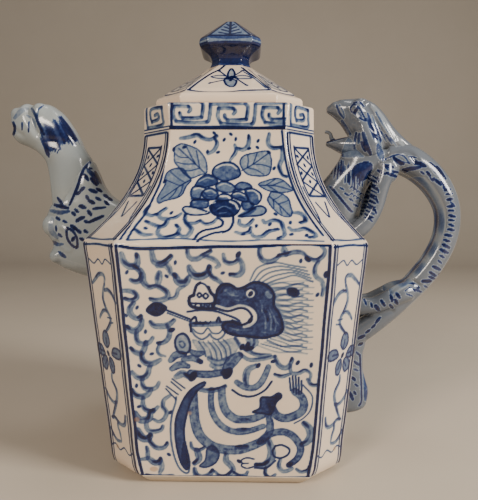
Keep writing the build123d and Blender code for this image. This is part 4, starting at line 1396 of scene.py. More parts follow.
spout_paint = Canvas(-119, -44, 84, 182, seed=201)
spout_paint.dry = True
spout_paint.draw("""
s 2.2 .5 .95: -104.8 176, -102.6 171.8, -100.8 167, -98.6 162.4
s 1.4 .3 .6: -101.9 171.6, -101.4 175.2, -98.7 177.6
s 1.0 .9: -110.1 168.9, -110.2 164.7
s 1.2 .85: -106.4 168.9, -106.8 163.7
s 3.4 .3 .2: -114 171, -110.6 174.6, -107 176
s 2.0 .3 .25: -107.6 172.5, -104.2 170, -102.8 165
s 2.6 .95 .9: -114.8 168.4, -114.4 165.6, -114.8 162.6
s 2.0 .8 .95: -74.3 148, -78 143.8, -81.2 134.9, -85.5 125.4
s 2.4 .95 1: -93.4 125.3, -90 124.6, -86.3 123.7
s 1.9 .85: -91.8 129.1, -89.2 125.4
s 3 .35 .6: -95.5 122.3, -91 121.4, -86 122
s 3.2 .5 .85: -75.5 143.6, -72.6 141, -70.4 137
s 2.4 .9: -77.6 141.4, -75.4 138.6
s 2.2 .9: -74 139.4, -71 136
s 1.7 .9: -71.6 143, -68.6 137
s 1.5 .9: -76.8 145.2, -73.4 144.6
s 2.4 .9: -77.8 134.6, -79.4 133
s 2.2 .9: -79.8 132.4, -81.4 131
s 2.6 .95: -74.6 133.4, -71.2 132.2
s 2.0 .9: -70.8 134, -68.4 132.6
s 2.4 .9: -66.9 130.6, -65.2 129.6
s 2.0 .9: -64.6 129, -63 128
s 2.4 .9: -66.4 127.2, -64.8 125.8
s 2.0 .9: -76.6 130.2, -75.2 128
s 2.2 .9: -71.2 129.2, -69 128
s 2.4 .95: -75.2 127.6, -72.4 126.4
s 2.6 .95: -80 124.8, -77.2 124
s 2.0 .9: -82.6 123, -81 121.6
s 2.4 .95: -75.6 122.2, -74.2 120.2
s 1.8 .85: -73 123.4, -66.4 124.2
s 2.2 .9: -84.2 121.4, -82.6 120
s 2.4 .9: -81.6 117.4, -77.8 119
s 2.0 .9: -82 116.6, -80.4 117.4
s 2.2 .95: -75 116.4, -67.6 119.6
s 2.0 .85: -77.6 116.8, -75.4 116.2
s 2.0 .9: -92.6 118.6, -91 117.6
s 1.6 .85: -89 116.9, -87.2 116.1
s 2.6 .95: -84.8 114.4, -82 112.4
s 2.4 .95: -81.6 111.8, -79.8 110.8
s 2.0 .9: -77.8 111.8, -76.2 110.8
s 1.5 .7: -93 114.2, -92.8 111.4
s 1.8 .7: -91.6 110, -90 108.4
s 2.2 .9: -80 107.6, -78.2 106.6
l 1.3 .9: -87.1 113.2, -84 111.4, -81.8 107.6, -81.8 102.9, -85 104.4, -87.2 108.4, -87.1 113.2
d 1.2 .95: -83.9 107.2
d 1.0 .9: -81.9 103.2, -87 112.8
s 2.6 .6 .4: -95 105.8, -92 104.4, -89.4 104.6
s 2.6 .5 .6: -91.6 100.2, -88.2 97.6
s 4 .2 .3: -95 118, -95.6 112, -92.4 108
s 5 .16 .1: -93 96, -86 93.4, -76 91
""")
rng = np.random.RandomState(207)
HAIR_FROM = ([0, .25, .5, .75, 1], [-101.8, -99.5, -96.8, -92.5, -88.6], [162, 166.5, 169.5, 171.8, 172.2])
HAIR_TO = ([0, .25, .5, .75, 1], [-97.2, -94.4, -90.8, -84.6, -79.6], [150.4, 152.2, 153.8, 157.4, 158.2])
for k in range(52):  # the forelock: pulled strokes that lean down towards the pot and end in a ragged fringe
    t = (k + 0.5) / 52
    x0, z0 = (float(np.interp(t, HAIR_FROM[0], HAIR_FROM[j])) for j in (1, 2))
    x1, z1 = (float(np.interp(t, HAIR_TO[0], HAIR_TO[j])) for j in (1, 2))
    heavy = 0.95 if 0.32 < t < 0.54 or 0.64 < t < 0.97 else (0.8 if t < 0.14 else 0.45)
    a, b = rng.uniform(-0.05, 0.3), rng.uniform(0.78, 1.06)
    points = [(x0 + (x1 - x0) * f + 0.5 * math.sin(math.pi * f), z0 + (z1 - z0) * f) for f in (a, (a + b) / 2, b)]
    spout_paint.stroke(points, rng.uniform(0.6, 1.15), 0.4 * heavy + rng.uniform(-0.1, 0.3), heavy)
spout_paint.fill([(-97.4, 168), (-94.6, 166.4), (-91.6, 159), (-92.6, 157), (-95, 160.6)], 0.55)
spout_paint.fill([(-90.8, 171.4), (-87.6, 170), (-82, 161.4), (-81.4, 158.8), (-85.6, 161), (-89, 166.4)], 0.5)

neck_form = stacked([
    (112.0, -91.4, -80.4, 7.0), (121, -93.4, -80.4, 8.4), (128, -94.1, -77.6, 9.6), (135, -94.7, -75.2, 10.4),
    (143, -95.8, -72.4, 10.6), (148, -97.1, -72.8, 10.6), (153.5, -102, -76, 10.6), (157, -105, -78, 10)])
head_form = stacked([
    (-114.3, 160.6, 172.0, 5.2), (-111, 157.4, 175.6, 8.2), (-106, 155.5, 178.6, 9.4),
    (-101.5, 153, 176.9, 10), (-96.5, 151, 177.9, 10.6), (-89, 151.4, 174.0, 10.6), (-83, 152.2, 166.2, 9.2),
    (-78.6, 153, 158.4, 6)], lying=True)
pour_cut = [limb([(-122, 0, 165.4, 3.5), (-100, 0, 165.4, 3.5), (-87, 0, 165.0, 3.5)]),
            ball(-115.8, 0, 165.2, 4.2, 15, 3.3),
            limb([(-87, 0, 96, 4.6), (-87, 0, 130, 4.6), (-87, 0, 164, 4.6)])]
spout_top = sculpt("spout_head_modelled", [
    neck_form, head_form, ball(-110.9, -3.4, 172.2, 3.7, 3.4, 3.6), ball(-110.9, 3.4, 172.2, 3.7, 3.4, 3.6),
    ball(-98.4, -4.4, 171.6, 5.2, 6, 6.2), ball(-98.4, 4.4, 171.6, 5.2, 6, 6.2),
], 0.6, 5, pour_cut, [
    ([(-105, 178), (-102.8, 172), (-100.8, 166.4), (-98, 161.4)], 3.6, 1.5),
    ([(-114, 164.5), (-110.4, 163.2), (-107, 160.8)], 2.6, 0.6),
    ([(-98.6, 176), (-93.4, 176), (-89.6, 172)], 4.0, -0.5),
])
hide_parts("spout_neck", "spout_head")

beast_form = stacked([
    (87.6, -77, -50, 6), (90.6, -85.4, -50, 8.6), (93.6, -91.4, -48, 11), (96.6, -94, -48, 12.2),
    (100, -95, -46, 13.2), (104, -94, -46, 13.6), (107, -95, -46, 14), (110, -97, -46, 14),
    (113, -98.4, -46, 14), (117, -97.4, -47, 13.8), (120, -97, -48, 13.5), (124, -95.2, -52, 13.2),
    (126.4, -92.2, -56.6, 13), (129, -87.5, -60.8, 12.7), (131, -85.6, -63.4, 12.5), (136, -82.6, -67, 12),
    (143, -78.4, -70, 10), (148.4, -74.8, -72.2, 5)], square=0.85)
spout_base = sculpt("spout_beast_modelled", [
    beast_form, ball(-92.6, -4.6, 114.6, 5.6, 6.8, 6.2), ball(-92.6, 4.6, 114.6, 5.6, 6.8, 6.2),
    ball(-89.8, -4, 98.6, 5.0, 7.2, 4.5), ball(-89.8, 4, 98.6, 5.0, 7.2, 4.5),
], 0.6, 5, [limb([(-87, 0, 103, 4.6), (-87, 0, 120, 4.6), (-87, 0, 156, 4.6)]),
            limb([(-91, 0, 106, 5.4), (-70, 0, 106, 5.4), (-44, 0, 106, 5.4)])], [
    ([(-97, 106), (-92.4, 104.8), (-88.6, 106)], 3.2, 1.0),
    ([(-87.6, 114.4), (-84, 112.6), (-81, 107.6), (-81, 102), (-85, 103), (-88.2, 108), (-87.6, 114.4)], 2.0, -0.6),
    ([(-96, 126), (-90, 124.4), (-85.4, 124.4), (-82, 134), (-78.4, 142)], 2.4, -0.7),
    ([(-95, 121), (-91, 119.4), (-87, 119.6)], 2.6, 0.6),
])
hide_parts("spout_beast")


def painted_mouth_shade(x, y, z, normals, paint):
    """Painted shade: darkens the pouring hole's mouth, where the inside of the hole lies in shadow."""
    # painted shade, darkest at the middle of the hole
    deep = np.clip(1 - np.hypot(y / 4.4, (z - 165.3) / 4.0), 0, 1) * (x < -106)
    paint[:, 0] = np.maximum(paint[:, 0], np.clip(deep * 2.2, 0, 0.9))


paint_sides(spout_top, spout_paint, painted_mouth_shade)
paint_sides(spout_base, spout_paint)

# Handle: a dragon whose back is the grip

grip_line = [(80, 150, 9.4), (90, 148.4, 9.6), (97.5, 144.6, 9.2), (104.6, 138.4, 8.6), (109.6, 131.2, 8.0),
             (112.6, 123.4, 7.4), (112.9, 114.5, 7.2), (110.6, 105.4, 7.1), (106, 96.6, 7.1),
             (99.6, 88, 7.2), (91.2, 79.4, 7.3), (81.6, 70.6, 7.4), (71, 62, 7.4), (58, 53, 7.4)]


def grip_section(a):
    """Round outside, hollowed on the inner side."""
    c, s = np.cos(a), np.sin(a)
    inner = -0.80 * np.abs(c) ** 0.75 * (1 - 0.26 * np.exp(-(s / 0.45) ** 2))
    return np.where(c > 0, c, inner), 1.08 * s


grip = limb([(x, 0.0, z, r) for x, z, r in grip_line], grip_section)
chest = stacked([
    (110, 50, 63.5, 6), (116, 44, 66.5, 8), (124, 42, 69, 9), (132, 44, 71, 9.6), (138, 48.5, 74, 10),
    (144, 53.2, 80, 10.6), (150, 57, 86, 10.6), (154, 58.5, 87, 9)])
tail = stacked([
    (15.8, 47, 67, 4.6), (17.4, 46, 71, 6.2), (20, 44, 73.1, 7.2), (27, 42, 74, 7.7), (33.5, 42, 72.3, 7.2),
    (39.5, 44, 71, 6.7), (45, 44, 71.0, 6.5), (53.5, 45, 72.4, 6.2), (60, 46, 74, 5.6), (66, 50, 78, 5)])
legs = []
for s in (-1, 1):
    legs.append(limb([(79, s * 7.5, 147, 4.6), (78.6, s * 8.4, 141, 4.8), (76.2, s * 8.6, 133.6, 4.6),
                      (74.6, s * 8.4, 126, 4.2), (71.4, s * 8.2, 119, 4.3), (66.4, s * 8.0, 113.4, 4.6),
                      (60.6, s * 7.6, 110.0, 4.2)]))
    legs.append(ball(80.5, s * 6.8, 142.6, 5.6, 5.0, 6.4))
    legs.append(limb([(93.6, s * 4.6, 81.4, 5.0), (88, s * 6.4, 80.0, 5.2), (81, s * 7.2, 76.6, 4.6),
                      (74, s * 7.4, 73.8, 4.4), (66, s * 7.2, 73.4, 4.8), (56, s * 7, 73, 5)]))
body_creases = [
    ([(79, 149), (85.7, 152), (91, 152), (94, 148)], 2.6, 1.0),
    ([(71.6, 141), (70.4, 133), (69.4, 126), (66.4, 119.6)], 2.8, 0.9),
    ([(84.6, 139.6), (82.2, 134.6)], 3.0, 0.5),
    ([(97.6, 84.6), (92.4, 87.4), (87, 85), (82, 81.6)], 2.2, 0.8),
    ([(84, 71), (77.4, 69.4), (71, 68.4)], 2.6, 0.9),
    ([(71.5, 48), (70.6, 34), (70.8, 21)], 1.8, 0.6),
    ([(71, 57), (73.4, 52), (72, 47)], 2.4, 0.3),
]
dragon = sculpt("dragon_body_modelled", [grip, chest, tail] + legs, 0.6, 5, (), body_creases)
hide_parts("dragon_back", "dragon_chest", "dragon_tail", "foreleg_front", "foreleg_back",
            "hind_leg_front", "hind_leg_back")

skull = stacked([
    (50, 173.8, 176.6, 2.4), (53.5, 171.6, 179.0, 5.6), (58, 167.2, 180.4, 7.8), (62, 160.8, 180.6, 9.4),
    (67, 152, 181, 11), (73, 149.4, 178.9, 11.6), (79, 150.2, 173.2, 10.6), (84.5, 152.4, 165.8, 8.6),
    (90, 153.0, 160.6, 5.6), (97, 149.5, 155.2, 3.2)], lying=True)
jaw = stacked([
    (49.8, 156.6, 158.9, 2.4), (54, 154.6, 159.8, 4.8), (58, 152.4, 160.8, 6.6), (64, 150.6, 161.6, 8.4)],
    lying=True)
face = [skull, jaw]
for s in (-1, 1):
    face.append(ball(64.6, s * 7.4, 174.6, 3.6, 3.4, 3.6))  # eye
    face.append(ball(66.6, s * 6.6, 178.0, 3.6, 2.6, 1.8))  # brow
    face.append(ball(54.0, s * 3.2, 176.6, 2.6, 2.4, 2.2))  # nostril
    face.append(ball(70.6, s * 7.0, 156.4, 6.6, 6.4, 7.6))  # cheek
    face.append(limb([(64.4, s * 8.2, 168, 3.2), (67.4, s * 8.8, 163, 3.8), (69.6, s * 8.8, 158, 4.6)]))
head_creases = [
    ([(70, 176), (73, 169.4), (76.6, 161.4), (79.2, 154.6), (79.6, 149.4)], 4.6, 1.7),
    ([(60, 173), (61.4, 168.6), (64.4, 165)], 2.6, 0.8),
    ([(68.6, 172.4), (70.6, 169.2)], 2.6, 0.6),
    ([(76.4, 172), (80, 165), (84, 159)], 2.0, 0.5),
    ([(79.6, 170), (84, 163), (88.4, 157)], 2.0, 0.4),
    ([(52, 152.8), (57.4, 151.6), (62, 150)], 2.8, 0.7),
    ([(61.2, 162), (64.6, 163)], 2.0, 0.7),
]
dragon_face = sculpt("dragon_head_modelled", face, 0.55, 4, (), head_creases)
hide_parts("dragon_head")
tongue = sculpt("dragon_tongue_modelled", [limb([
    (55.6, 0, 158.4, 1.3), (53.4, 0, 159.6, 1.2), (52.6, 0, 161.0, 1.05), (52.2, 0, 162.6, 0.95),
    (50.9, 0, 163.7, 0.9), (49.2, 0, 163.8, 0.8)])], 0.25, 2)
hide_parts("dragon_tongue")

handle_paint = Canvas(42, 123, 12, 186, seed=221)
handle_paint.dry = True
# Painted shade in this text: the last four fills (from 64.6 146, 76.6 158, 61.6 161 and 72.6 171) darken the hollow
# under the cheek, the valley behind it and the underside of the jaw. The stroke from 50.8 156 shades the jaw's
# underside.
handle_paint.draw("""
s 1.6 .75 .5: 55.2 177.6, 56.6 174, 58.9 170.8
s 1.2 .5 .4: 56.6 178, 58.6 174.4, 59.4 171.4
l .9 .8: 62.4 176.4, 64 178, 66.6 176.6, 68.6 173.4, 70.4 169.8, 68 170.6, 65.4 172.8, 63 174.4, 62.4 176.4
d 1.2 .97: 65.2 174.9
s 1.3 .9 .7: 64 178.9, 67.2 179, 69.5 176.8
s 1.2 .6: 66.6 174, 68.4 171.4
s 1.9 .6 .95: 71.4 173.4, 74.1 165.8, 76.4 160.2
s 1.5 .5 .8: 70.9 171, 73 165.4, 75.1 160.1
s 1.4 .4 .7: 73.6 172.4, 76.4 165, 78.2 159.8
s 1.7 .85 .6: 77.2 166, 78.5 159
s 1.4 .8 .5: 80.9 162.6, 84.3 157.7
s 1.4 .6 .4: 78.6 164, 81.4 158.8
s 1.3 .5 .4: 83.4 161, 86.6 156.8
s 1.3 .35 .3: 75.6 174, 79.6 167, 83 162.6
s 3.2 .2 .14: 74 177, 79 170.6, 84.4 163, 90 157.6
s 1.8 .7 .5: 65.6 163.4, 65 159.4, 64.8 155.4
s 2.0 .7 .5: 67.2 163, 66.8 158
s 3.0 .6 1: 69.2 163.4, 70.9 157.4, 73.2 152.4
s 2.2 .7 .95: 68.4 158.6, 70.4 154
s 1.6 .85 .9: 50.4 158.6, 54.4 159.8, 60.8 161.4
s 2.0 .4 .6: 50.8 156, 55 153.8, 58.6 151.6
s 2.6 .45 .5: 58 169.6, 60.6 165.2, 62.6 162.4
s 1.2 .8 .7: 51.8 172.8, 55.6 169.6, 58.6 166.2, 60.6 162.6
l .9 .7: 79.6 149.2, 82.6 150.4, 85.7 151.8, 90 151.7, 93.7 147.6
l .7 .6: 85.6 151.4, 86.8 148.6, 90.8 148.2, 93.6 147.6
s 2.4 .95: 81.2 146.6, 85.0 145.6
s 2.6 .95: 85.4 150.4, 89.2 147.2
s 2.4 .95: 87 149.4, 90.4 147.2
s 1.6 .8: 79.8 147.4, 82.4 144.4
s 2.0 .9: 77.2 144, 81 142
s 2.2 .9: 81.8 142.6, 87.4 140.6
s 1.8 .9: 84.6 143.6, 87.8 142.8
s 2.8 .95 .7: 90.4 144.2, 94 144.8, 99.2 145.6
s 1.9 .9: 91.2 143, 93.4 144.8
s 3.0 1: 95.4 148.8, 98.2 147.4
s 2.8 1: 98.6 147.8, 101.8 146.2
s 1.3 .8: 93.2 151, 97 150.6
s 1.3 .8: 94.4 149.4, 95.6 148.6
s 1.5 .8: 99.6 143.4, 101.4 142
s 2.0 .9: 102.8 143.2, 104.4 141.2
s 2.6 .85: 104.4 147.6, 108 144
s 2.4 .95: 105.8 145, 109.6 141.2
s 2.0 .85: 107.8 146, 111.2 141.8
s 1.8 .85: 109 144.4, 112.6 139.6
s 1.4 .8: 104.6 140.2, 106 138.4
s 2.0 .8: 106.4 139.8, 108.4 137.8
s 2.0 .8: 108 139, 110 136.4
s 1.7 .85: 110.4 138.4, 112 136
s 1.7 .85: 111.4 135.4, 113.4 133.4
s 1.5 .8: 112.2 133.6, 115.4 134.2
s 1.5 .85: 113 131.6, 116.2 132
s 1.9 .9: 113.6 128.8, 116.4 129.2
s 1.5 .8: 115.6 127.4, 117.2 126
s 1.7 .9: 113.8 125.2, 117.6 125.4
s 1.6 .9: 114.4 123, 117.2 123
s 1.9 .9: 114.8 120.6, 118 119.8
s 1.5 .85: 114.6 118.2, 117.6 117.8
s 1.7 .85: 115 115.8, 117.4 115
s 1.7 .9: 114.4 113.2, 117.6 112.8
s 2.2 .85: 113 110.4, 116.4 109.8
s 1.8 .85: 112.4 107.8, 115.6 106.8
s 2.4 .9: 112 105.2, 115.4 103.6
s 2.4 .9: 110.8 102.6, 114.6 100.8
s 1.6 .85: 110.6 99.6, 112.8 98.2
s 1.5 .85: 109.8 96.8, 111.4 95.4
s 2.4 .9: 107.2 93.6, 110.8 92
s 1.5 .85: 110 89.4, 112 90.4
s 2.0 .9: 105.4 90.6, 108.8 88.6
s 1.8 .9: 105.2 88.2, 108.4 87
s 2.6 .95: 101.8 85.8, 106 85.8
s 1.4 .7: 102.6 83.4, 104.8 82.2
s 1.6 .75: 98 81.4, 101.2 80
l 1.3 .95: 90 82.6, 92.6 84.8, 96.4 84.6, 99.8 82.2
l .8 .8: 92.8 80.6, 95.6 82.4, 98 80.4
s 1.1 .8: 93.4 79, 96.6 77.8
s 2.2 .9: 88 79.4, 90 76.8
s 2.0 .9: 85.2 78.4, 86 74.8
s 2.4 .95: 87.4 75.8, 88.8 73.6
s 2.0 .9: 84.8 73, 86.4 71.4
s 2.2 .9: 80.2 75.4, 82 72.6
s 2.6 .95: 77.2 72.6, 79 70.2
s 1.8 .85: 74.8 74, 75.6 71.6
s 1.6 .8: 71.2 76, 72.4 73
s 2.0 .85: 77.6 63.4, 79.8 66.2
s 1.8 .85: 75.6 60.8, 77.2 62.2
s 1.8 .85: 72.4 58, 74.6 59.6
s 2.4 .95: 68.6 55, 71.6 56.4
s 2.2 .95: 68.8 51.4, 70.6 52.4
s 1.6 .8: 67.4 47.6, 69.4 45.6
s 2.0 .85: 66.6 42.4, 68.8 40.6
s 1.6 .8: 66.4 38.4, 68.6 37.4
s 2.2 .95: 65.4 33.8, 67 32.4
s 1.6 .85: 67 30.2, 68.6 29
s 2.4 .85: 64.4 25.6, 66 21.6
s 1.8 .9: 66.6 26, 67.6 24.6
f .72: 64.6 146, 70.4 148.6, 74.4 147, 73.4 142, 69.6 138.6, 65.4 141.4
f .4: 76.6 158, 79.6 154.4, 80.4 150.4, 78 149.6, 76.2 153.4
f .3: 61.6 161, 66 155, 70 151, 64 150.6, 58 151.6
f .26: 72.6 171, 76.6 163, 79.4 156, 77.2 157.4, 74 164.6
l 1.1 .85: 69.4 46, 69.9 38, 70.4 30, 70.6 21, 69.4 18.4
s 4.2 .42 .5: 72.4 38, 73.2 30, 73 22
""")
rng = np.random.RandomState(229)
for k in range(24):  # the beard: upright strokes massed under the jaw
    t = (k + 0.5) / 24
    x0 = 52.6 + 15.5 * t + rng.uniform(-0.7, 0.7)
    z0 = 149.6 - 4.4 * t + rng.uniform(-1.4, 1.4)
    length = rng.uniform(6.0, 9.5) + 3.0 * t
    dark = 1.0 if t > 0.35 else 0.8
    handle_paint.stroke([(x0, z0), (x0 - 0.5 + 1.2 * t, z0 - length * 0.55), (x0 - 1.3 + 2.4 * t, z0 - length)],
                        rng.uniform(0.6, 1.3), 0.5, dark)
for k in range(9):  # dashes on the chest
    t = k / 8
    x0, z0 = 52.9 + 9.8 * t, 134.6 - 11.6 * t
    handle_paint.stroke([(x0 - 0.7, z0 + 0.8), (x0 + 1.6, z0 - 0.9)], 1.5, 0.9)
    if k % 2:
        handle_paint.stroke([(x0 + 3.4, z0 + 1.8), (x0 + 5.6, z0 + 0.6)], 1.3, 0.85)
for k in range(8):
    x0, z0 = 62.6 + 1.7 * (k % 4), 134.4 - 3.4 * (k // 4) - 1.1 * (k % 4)
    handle_paint.stroke([(x0, z0), (x0 + 1.2, z0 + 0.9), (x0 + 2.4, z0 - 0.3)], 0.9, 0.75)
for k in range(13):  # rungs down the foreleg
    z0 = 140.4 - 1.85 * k
    x0 = 73.2 - 0.00009 * (141 - z0) ** 3.2
    handle_paint.stroke([(x0 - 0.8, z0 + 1.2), (x0 + 1.6, z0 + 0.5 - 0.4 * (k % 3)), (x0 + 3.6, z0 - 0.9)],
                        1.1 + 0.5 * (k % 2), 0.95)
    if k % 3 == 1:
        handle_paint.stroke([(x0 + 3.8, z0 + 2.0), (x0 + 4.8, z0 - 0.6)], 1.2, 0.9)
handle_paint.fill([(60.5, 129), (64.5, 128.6), (66.6, 123), (64, 118.6), (60.4, 121.6)], 0.02)


def grip_wash_and_shade(x, y, z, normals, paint):
    """The grip's hollowed inner side, facing the loop's middle, gets a blue wash in place of the brushwork, with
    painted shade: a darker line down the hollow's middle, where it is deepest. The outer side gets a light wash.
    """
    line = curve_through([(a, b) for a, b, _ in grip_line], step=1.0)
    along = np.gradient(line, axis=0)
    along /= np.linalg.norm(along, axis=1, keepdims=True)
    near = np.full(len(x), 1e9)
    face = np.zeros(len(x))
    for k in range(len(line)):
        d = (x - line[k, 0]) ** 2 + (z - line[k, 1]) ** 2
        hit = d < near
        near[hit] = d[hit]
        inward = (-along[k, 1], along[k, 0])
        # the inner side of the loop faces its middle
        sign = 1 if inward[0] * (92 - line[k, 0]) + inward[1] * (112 - line[k, 1]) > 0 else -1
        face[hit] = sign * (normals[hit, 0] * inward[0] + normals[hit, 2] * inward[1])
    grips = (near < 100) & (x > 82) & (z > 72) & (z < 140)
    inner = np.clip((face - 0.35) / 0.3, 0, 1) * grips
    # painted shade: the exp term darkens the line down the middle of the hollow
    wash = inner * (0.30 + 0.12 * np.sin(0.5 * x + 0.3 * z) + 0.4 * np.exp(-(y / 1.5) ** 2))
    paint[:, 0] = paint[:, 0] * (1 - inner) + np.clip(wash, 0, 1)
    outer = np.clip((-face - 0.8) / 0.2, 0, 1) * grips
    paint[:, 0] = np.maximum(paint[:, 0], 0.3 * outer)


paint_sides(dragon, handle_paint, grip_wash_and_shade)
paint_sides(dragon_face, handle_paint)
paint_sides(tongue, handle_paint)
modelled = [spout_top, spout_base, dragon, dragon_face, tongue]
for obj in modelled:
    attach(obj, "pot")


# ---------------------------------------------------------------------------------------------------------
# Materials


def srgb(r, g, b):
    """A linear colour from 0 to 255 sRGB."""
    c = np.array([r, g, b]) / 255.0
    c = np.where(c <= 0.04045, c / 12.92, ((c + 0.055) / 1.055) ** 2.4)
    return (*c, 1.0)


class Nodes:
    """A material's node tree, written in the order the colour flows."""

    def __init__(self, name):
        self.mat = bpy.data.materials.new(name)
        self.mat.use_nodes = True
        self.tree = self.mat.node_tree
        self.tree.nodes.clear()

    def add(self, kind, **values):
        node = self.tree.nodes.new(kind)
        for key, value in values.items():
            if hasattr(node, key):
                setattr(node, key, value)
            else:
                node.inputs[key.replace("_", " ")].default_value = value
        return node

    def link(self, a, b):
        self.tree.links.new(a, b)

    def math(self, operation, a, b=None, clamp=False):
        node = self.add("ShaderNodeMath", operation=operation, use_clamp=clamp)
        for k, value in enumerate((a, b)):
            if value is None:
                continue
            if isinstance(value, (int, float)):
                node.inputs[k].default_value = value
            else:
                self.link(value, node.inputs[k])
        return node.outputs[0]

    def mix(self, factor, a, b, blend="MIX"):
        node = self.add("ShaderNodeMix", data_type="RGBA", blend_type=blend)
        for socket, value in ((node.inputs[0], factor), (node.inputs[6], a), (node.inputs[7], b)):
            if isinstance(value, (int, float, tuple)):
                socket.default_value = value
            else:
                self.link(value, socket)
        return node.outputs[2]

    def noise(self, scale, detail=3.0, rough=0.5, seed=0.0):
        where = self.add("ShaderNodeTexCoord")
        shift = self.add("ShaderNodeMapping")
        shift.inputs["Location"].default_value = (seed, seed * 0.7, -seed)
        self.link(where.outputs["Object"], shift.inputs["Vector"])
        node = self.add("ShaderNodeTexNoise", Scale=scale, Detail=detail, Roughness=rough)
        self.link(shift.outputs[0], node.inputs["Vector"])
        return node.outputs["Fac"]

    def ramp(self, value, stops):
        node = self.add("ShaderNodeValToRGB")
        ramp = node.color_ramp
        while len(ramp.elements) < len(stops):
            ramp.elements.new(0.5)
        for element, (place, colour) in zip(ramp.elements, stops):
            element.position = place
            element.color = colour
        self.link(value, node.inputs[0])
        return node.outputs[0]


def glaze(name, ground, shade, wash, gloss=0.1, wave=0.35):
    """Painted porcelain: cobalt from the paint attribute sinks into a clear glossy glaze."""
    n = Nodes(name)
    paint = n.add("ShaderNodeAttribute", attribute_name="paint", attribute_type="GEOMETRY")
    split = n.add("ShaderNodeSeparateColor")
    n.link(paint.outputs["Color"], split.inputs[0])
    grain = n.noise(900.0, 4.0, 0.6, 3.1)
    cloud = n.noise(45.0, 3.0, 0.55, 1.3)
    body = n.mix(cloud, ground, shade)
    bleed = n.math("MULTIPLY", split.outputs[2], 0.55, clamp=True)
    body = n.mix(bleed, body, wash)
    uneven = n.math("ADD", 0.78, n.math("MULTIPLY", grain, 0.44))
    dose = n.math("MULTIPLY", split.outputs[0], uneven, clamp=True)
    ink = n.ramp(dose, [
        (0.0, srgb(186, 184, 178)), (0.13, srgb(142, 148, 150)), (0.30, srgb(90, 104, 124)),
        (0.50, srgb(40, 55, 94)), (0.72, srgb(15, 27, 72)), (1.0, srgb(4, 9, 46))])
    cover = n.math("MULTIPLY", dose, 4.5, clamp=True)
    colour = n.mix(cover, body, ink)
    iron = n.math("MULTIPLY", split.outputs[1], 0.9, clamp=True)
    colour = n.mix(iron, colour, srgb(146, 104, 58))
    shader = n.add("ShaderNodeBsdfPrincipled", Roughness=gloss, IOR=1.5)
    shader.inputs["Coat Weight"].default_value = 0.12
    shader.inputs["Coat Roughness"].default_value = 0.04
    n.link(colour, shader.inputs["Base Color"])
    swell = n.noise(70.0, 2.0, 0.4, 5.7)
    pits = n.noise(1400.0, 2.0, 0.5, 8.2)
    height = n.math("ADD", swell, n.math("MULTIPLY", pits, 0.012))
    bump = n.add("ShaderNodeBump", Strength=wave, Distance=0.0012)
    n.link(height, bump.inputs["Height"])
    n.link(bump.outputs[0], shader.inputs["Normal"])
    rough = n.math("ADD", gloss, n.math("MULTIPLY", cloud, 0.06))
    n.link(rough, shader.inputs["Roughness"])
    out = n.add("ShaderNodeOutputMaterial")
    n.link(shader.outputs[0], out.inputs[0])
    return n.mat


def bare_clay(name):
    n = Nodes(name)
    colour = n.mix(n.noise(160.0, 5.0, 0.6, 2.2), srgb(206, 190, 166), srgb(168, 148, 122))
    shader = n.add("ShaderNodeBsdfPrincipled", Roughness=0.8)
    n.link(colour, shader.inputs["Base Color"])
    bump = n.add("ShaderNodeBump", Strength=0.5, Distance=0.0003)
    n.link(n.noise(1800.0, 3.0, 0.6, 6.6), bump.inputs["Height"])
    n.link(bump.outputs[0], shader.inputs["Normal"])
    out = n.add("ShaderNodeOutputMaterial")
    n.link(shader.outputs[0], out.inputs[0])
    return n.mat


white_glaze = glaze("painted_porcelain", srgb(219, 199, 176), srgb(208, 187, 163), srgb(176, 178, 176))
spout_glaze = glaze("washed_porcelain", srgb(152, 156, 152), srgb(128, 136, 140), srgb(110, 122, 136), 0.14)
dragon_glaze = glaze("dragon_porcelain", srgb(103, 107, 111), srgb(78, 85, 97), srgb(62, 73, 96), 0.14)
clay = bare_clay("bare_porcelain")
plain_glaze = glaze("plain_porcelain", srgb(216, 201, 182), srgb(204, 188, 168), srgb(176, 184, 190))


def dress(obj, material):
    obj.data.materials.clear()
    obj.data.materials.append(material)


for obj in painted + [collar, lid]:
    dress(obj, white_glaze)
for obj in (spout_top, spout_base):
    dress(obj, spout_glaze)
for obj in (dragon, dragon_face, tongue, knob):
    dress(obj, dragon_glaze)
dress(foot, clay)
for node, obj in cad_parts.items():
    if node in ("base_slab", "lid_flange"):
        dress(obj, plain_glaze)


# ---------------------------------------------------------------------------------------------------------
# Stage, lights and camera


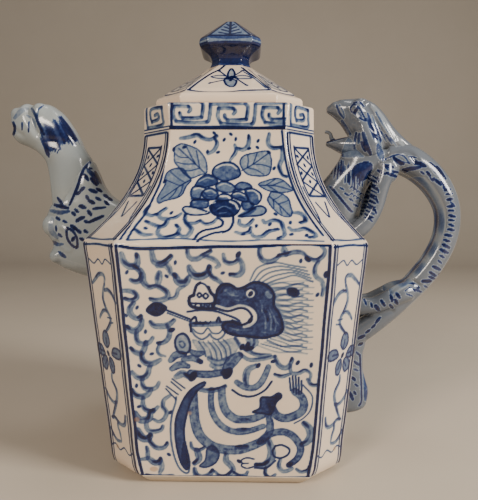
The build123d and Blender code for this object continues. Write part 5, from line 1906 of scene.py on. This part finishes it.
def backdrop():
    """A pale floor that curves up into a wall far behind."""
    line = [(-1.6, 0.0)] + [(1.1 + 0.5 * math.sin(a), 0.5 - 0.5 * math.cos(a))
                            for a in np.linspace(0, math.pi / 2, 16)] + [(1.6, 2.4)]
    mesh = bpy.data.meshes.new("floor_sweep")
    verts = [(x, y, z) for y, z in line for x in (-2.4, 2.4)]
    mesh.from_pydata(verts, [], [(2 * k, 2 * k + 1, 2 * k + 3, 2 * k + 2) for k in range(len(line) - 1)])
    mesh.polygons.foreach_set("use_smooth", np.full(len(mesh.polygons), True))
    obj = bpy.data.objects.new("floor_sweep", mesh)
    bpy.context.scene.collection.objects.link(obj)
    n = Nodes("pale_paper")
    colour = n.mix(n.noise(6.0, 4.0, 0.6, 0.4), srgb(186, 174, 158), srgb(178, 165, 148))
    shader = n.add("ShaderNodeBsdfPrincipled", Roughness=0.6)
    n.link(colour, shader.inputs["Base Color"])
    out = n.add("ShaderNodeOutputMaterial")
    n.link(shader.outputs[0], out.inputs[0])
    dress(obj, n.mat)
    obj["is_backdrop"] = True


def softbox(name, place, target, size, power, colour):
    light = bpy.data.lights.new(name, "AREA")
    light.shape = "RECTANGLE"
    light.size, light.size_y = size
    light.energy = power
    light.color = colour
    obj = bpy.data.objects.new(name, light)
    obj.location = place
    obj.rotation_euler = (Vector(target) - Vector(place)).to_track_quat("-Z", "Y").to_euler()
    bpy.context.scene.collection.objects.link(obj)


backdrop()
softbox("key", (0.95, -0.5, 0.55), (0, 0, 0.1), (0.35, 0.45), 20, (1.0, 0.95, 0.88))
softbox("fill", (-0.45, -0.9, 0.65), (0, 0, 0.1), (0.3, 0.3), 8.5, (1.0, 0.87, 0.74))
softbox("top", (0.2, 0.05, 1.0), (0, 0, 0.15), (0.3, 0.3), 1.6, (1.0, 0.96, 0.92))
world = bpy.data.worlds.new("soft_room")
world.use_nodes = True
world.node_tree.nodes["Background"].inputs[0].default_value = (0.56, 0.58, 0.60, 1)
world.node_tree.nodes["Background"].inputs[1].default_value = 0.42
bpy.context.scene.world = world

# The photograph's viewpoint. Its focal length is 545.6 of the frame's 500 pixels of height.
lens = bpy.data.cameras.new("viewpoint")
lens.sensor_fit = "VERTICAL"
lens.sensor_height = 36.0
lens.lens = 545.6 / 500 * 36.0
lens.clip_start, lens.clip_end = 0.01, 20
camera = bpy.data.objects.new("viewpoint", lens)
yaw, pitch, roll = math.radians(1.09), math.radians(-3.26), math.radians(-0.21)
turn = Matrix.Rotation(yaw, 3, "Z") @ Matrix.Rotation(pitch, 3, "X") @ Matrix.Rotation(roll, 3, "Y")
place = Matrix.Rotation(math.radians(90), 3, "X")
camera.matrix_world = Matrix.Translation(Vector(to_row(VIEW_FROM))) @ (turn @ place).to_4x4()
bpy.context.scene.collection.objects.link(camera)
bpy.context.scene.camera = camera

lo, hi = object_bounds()
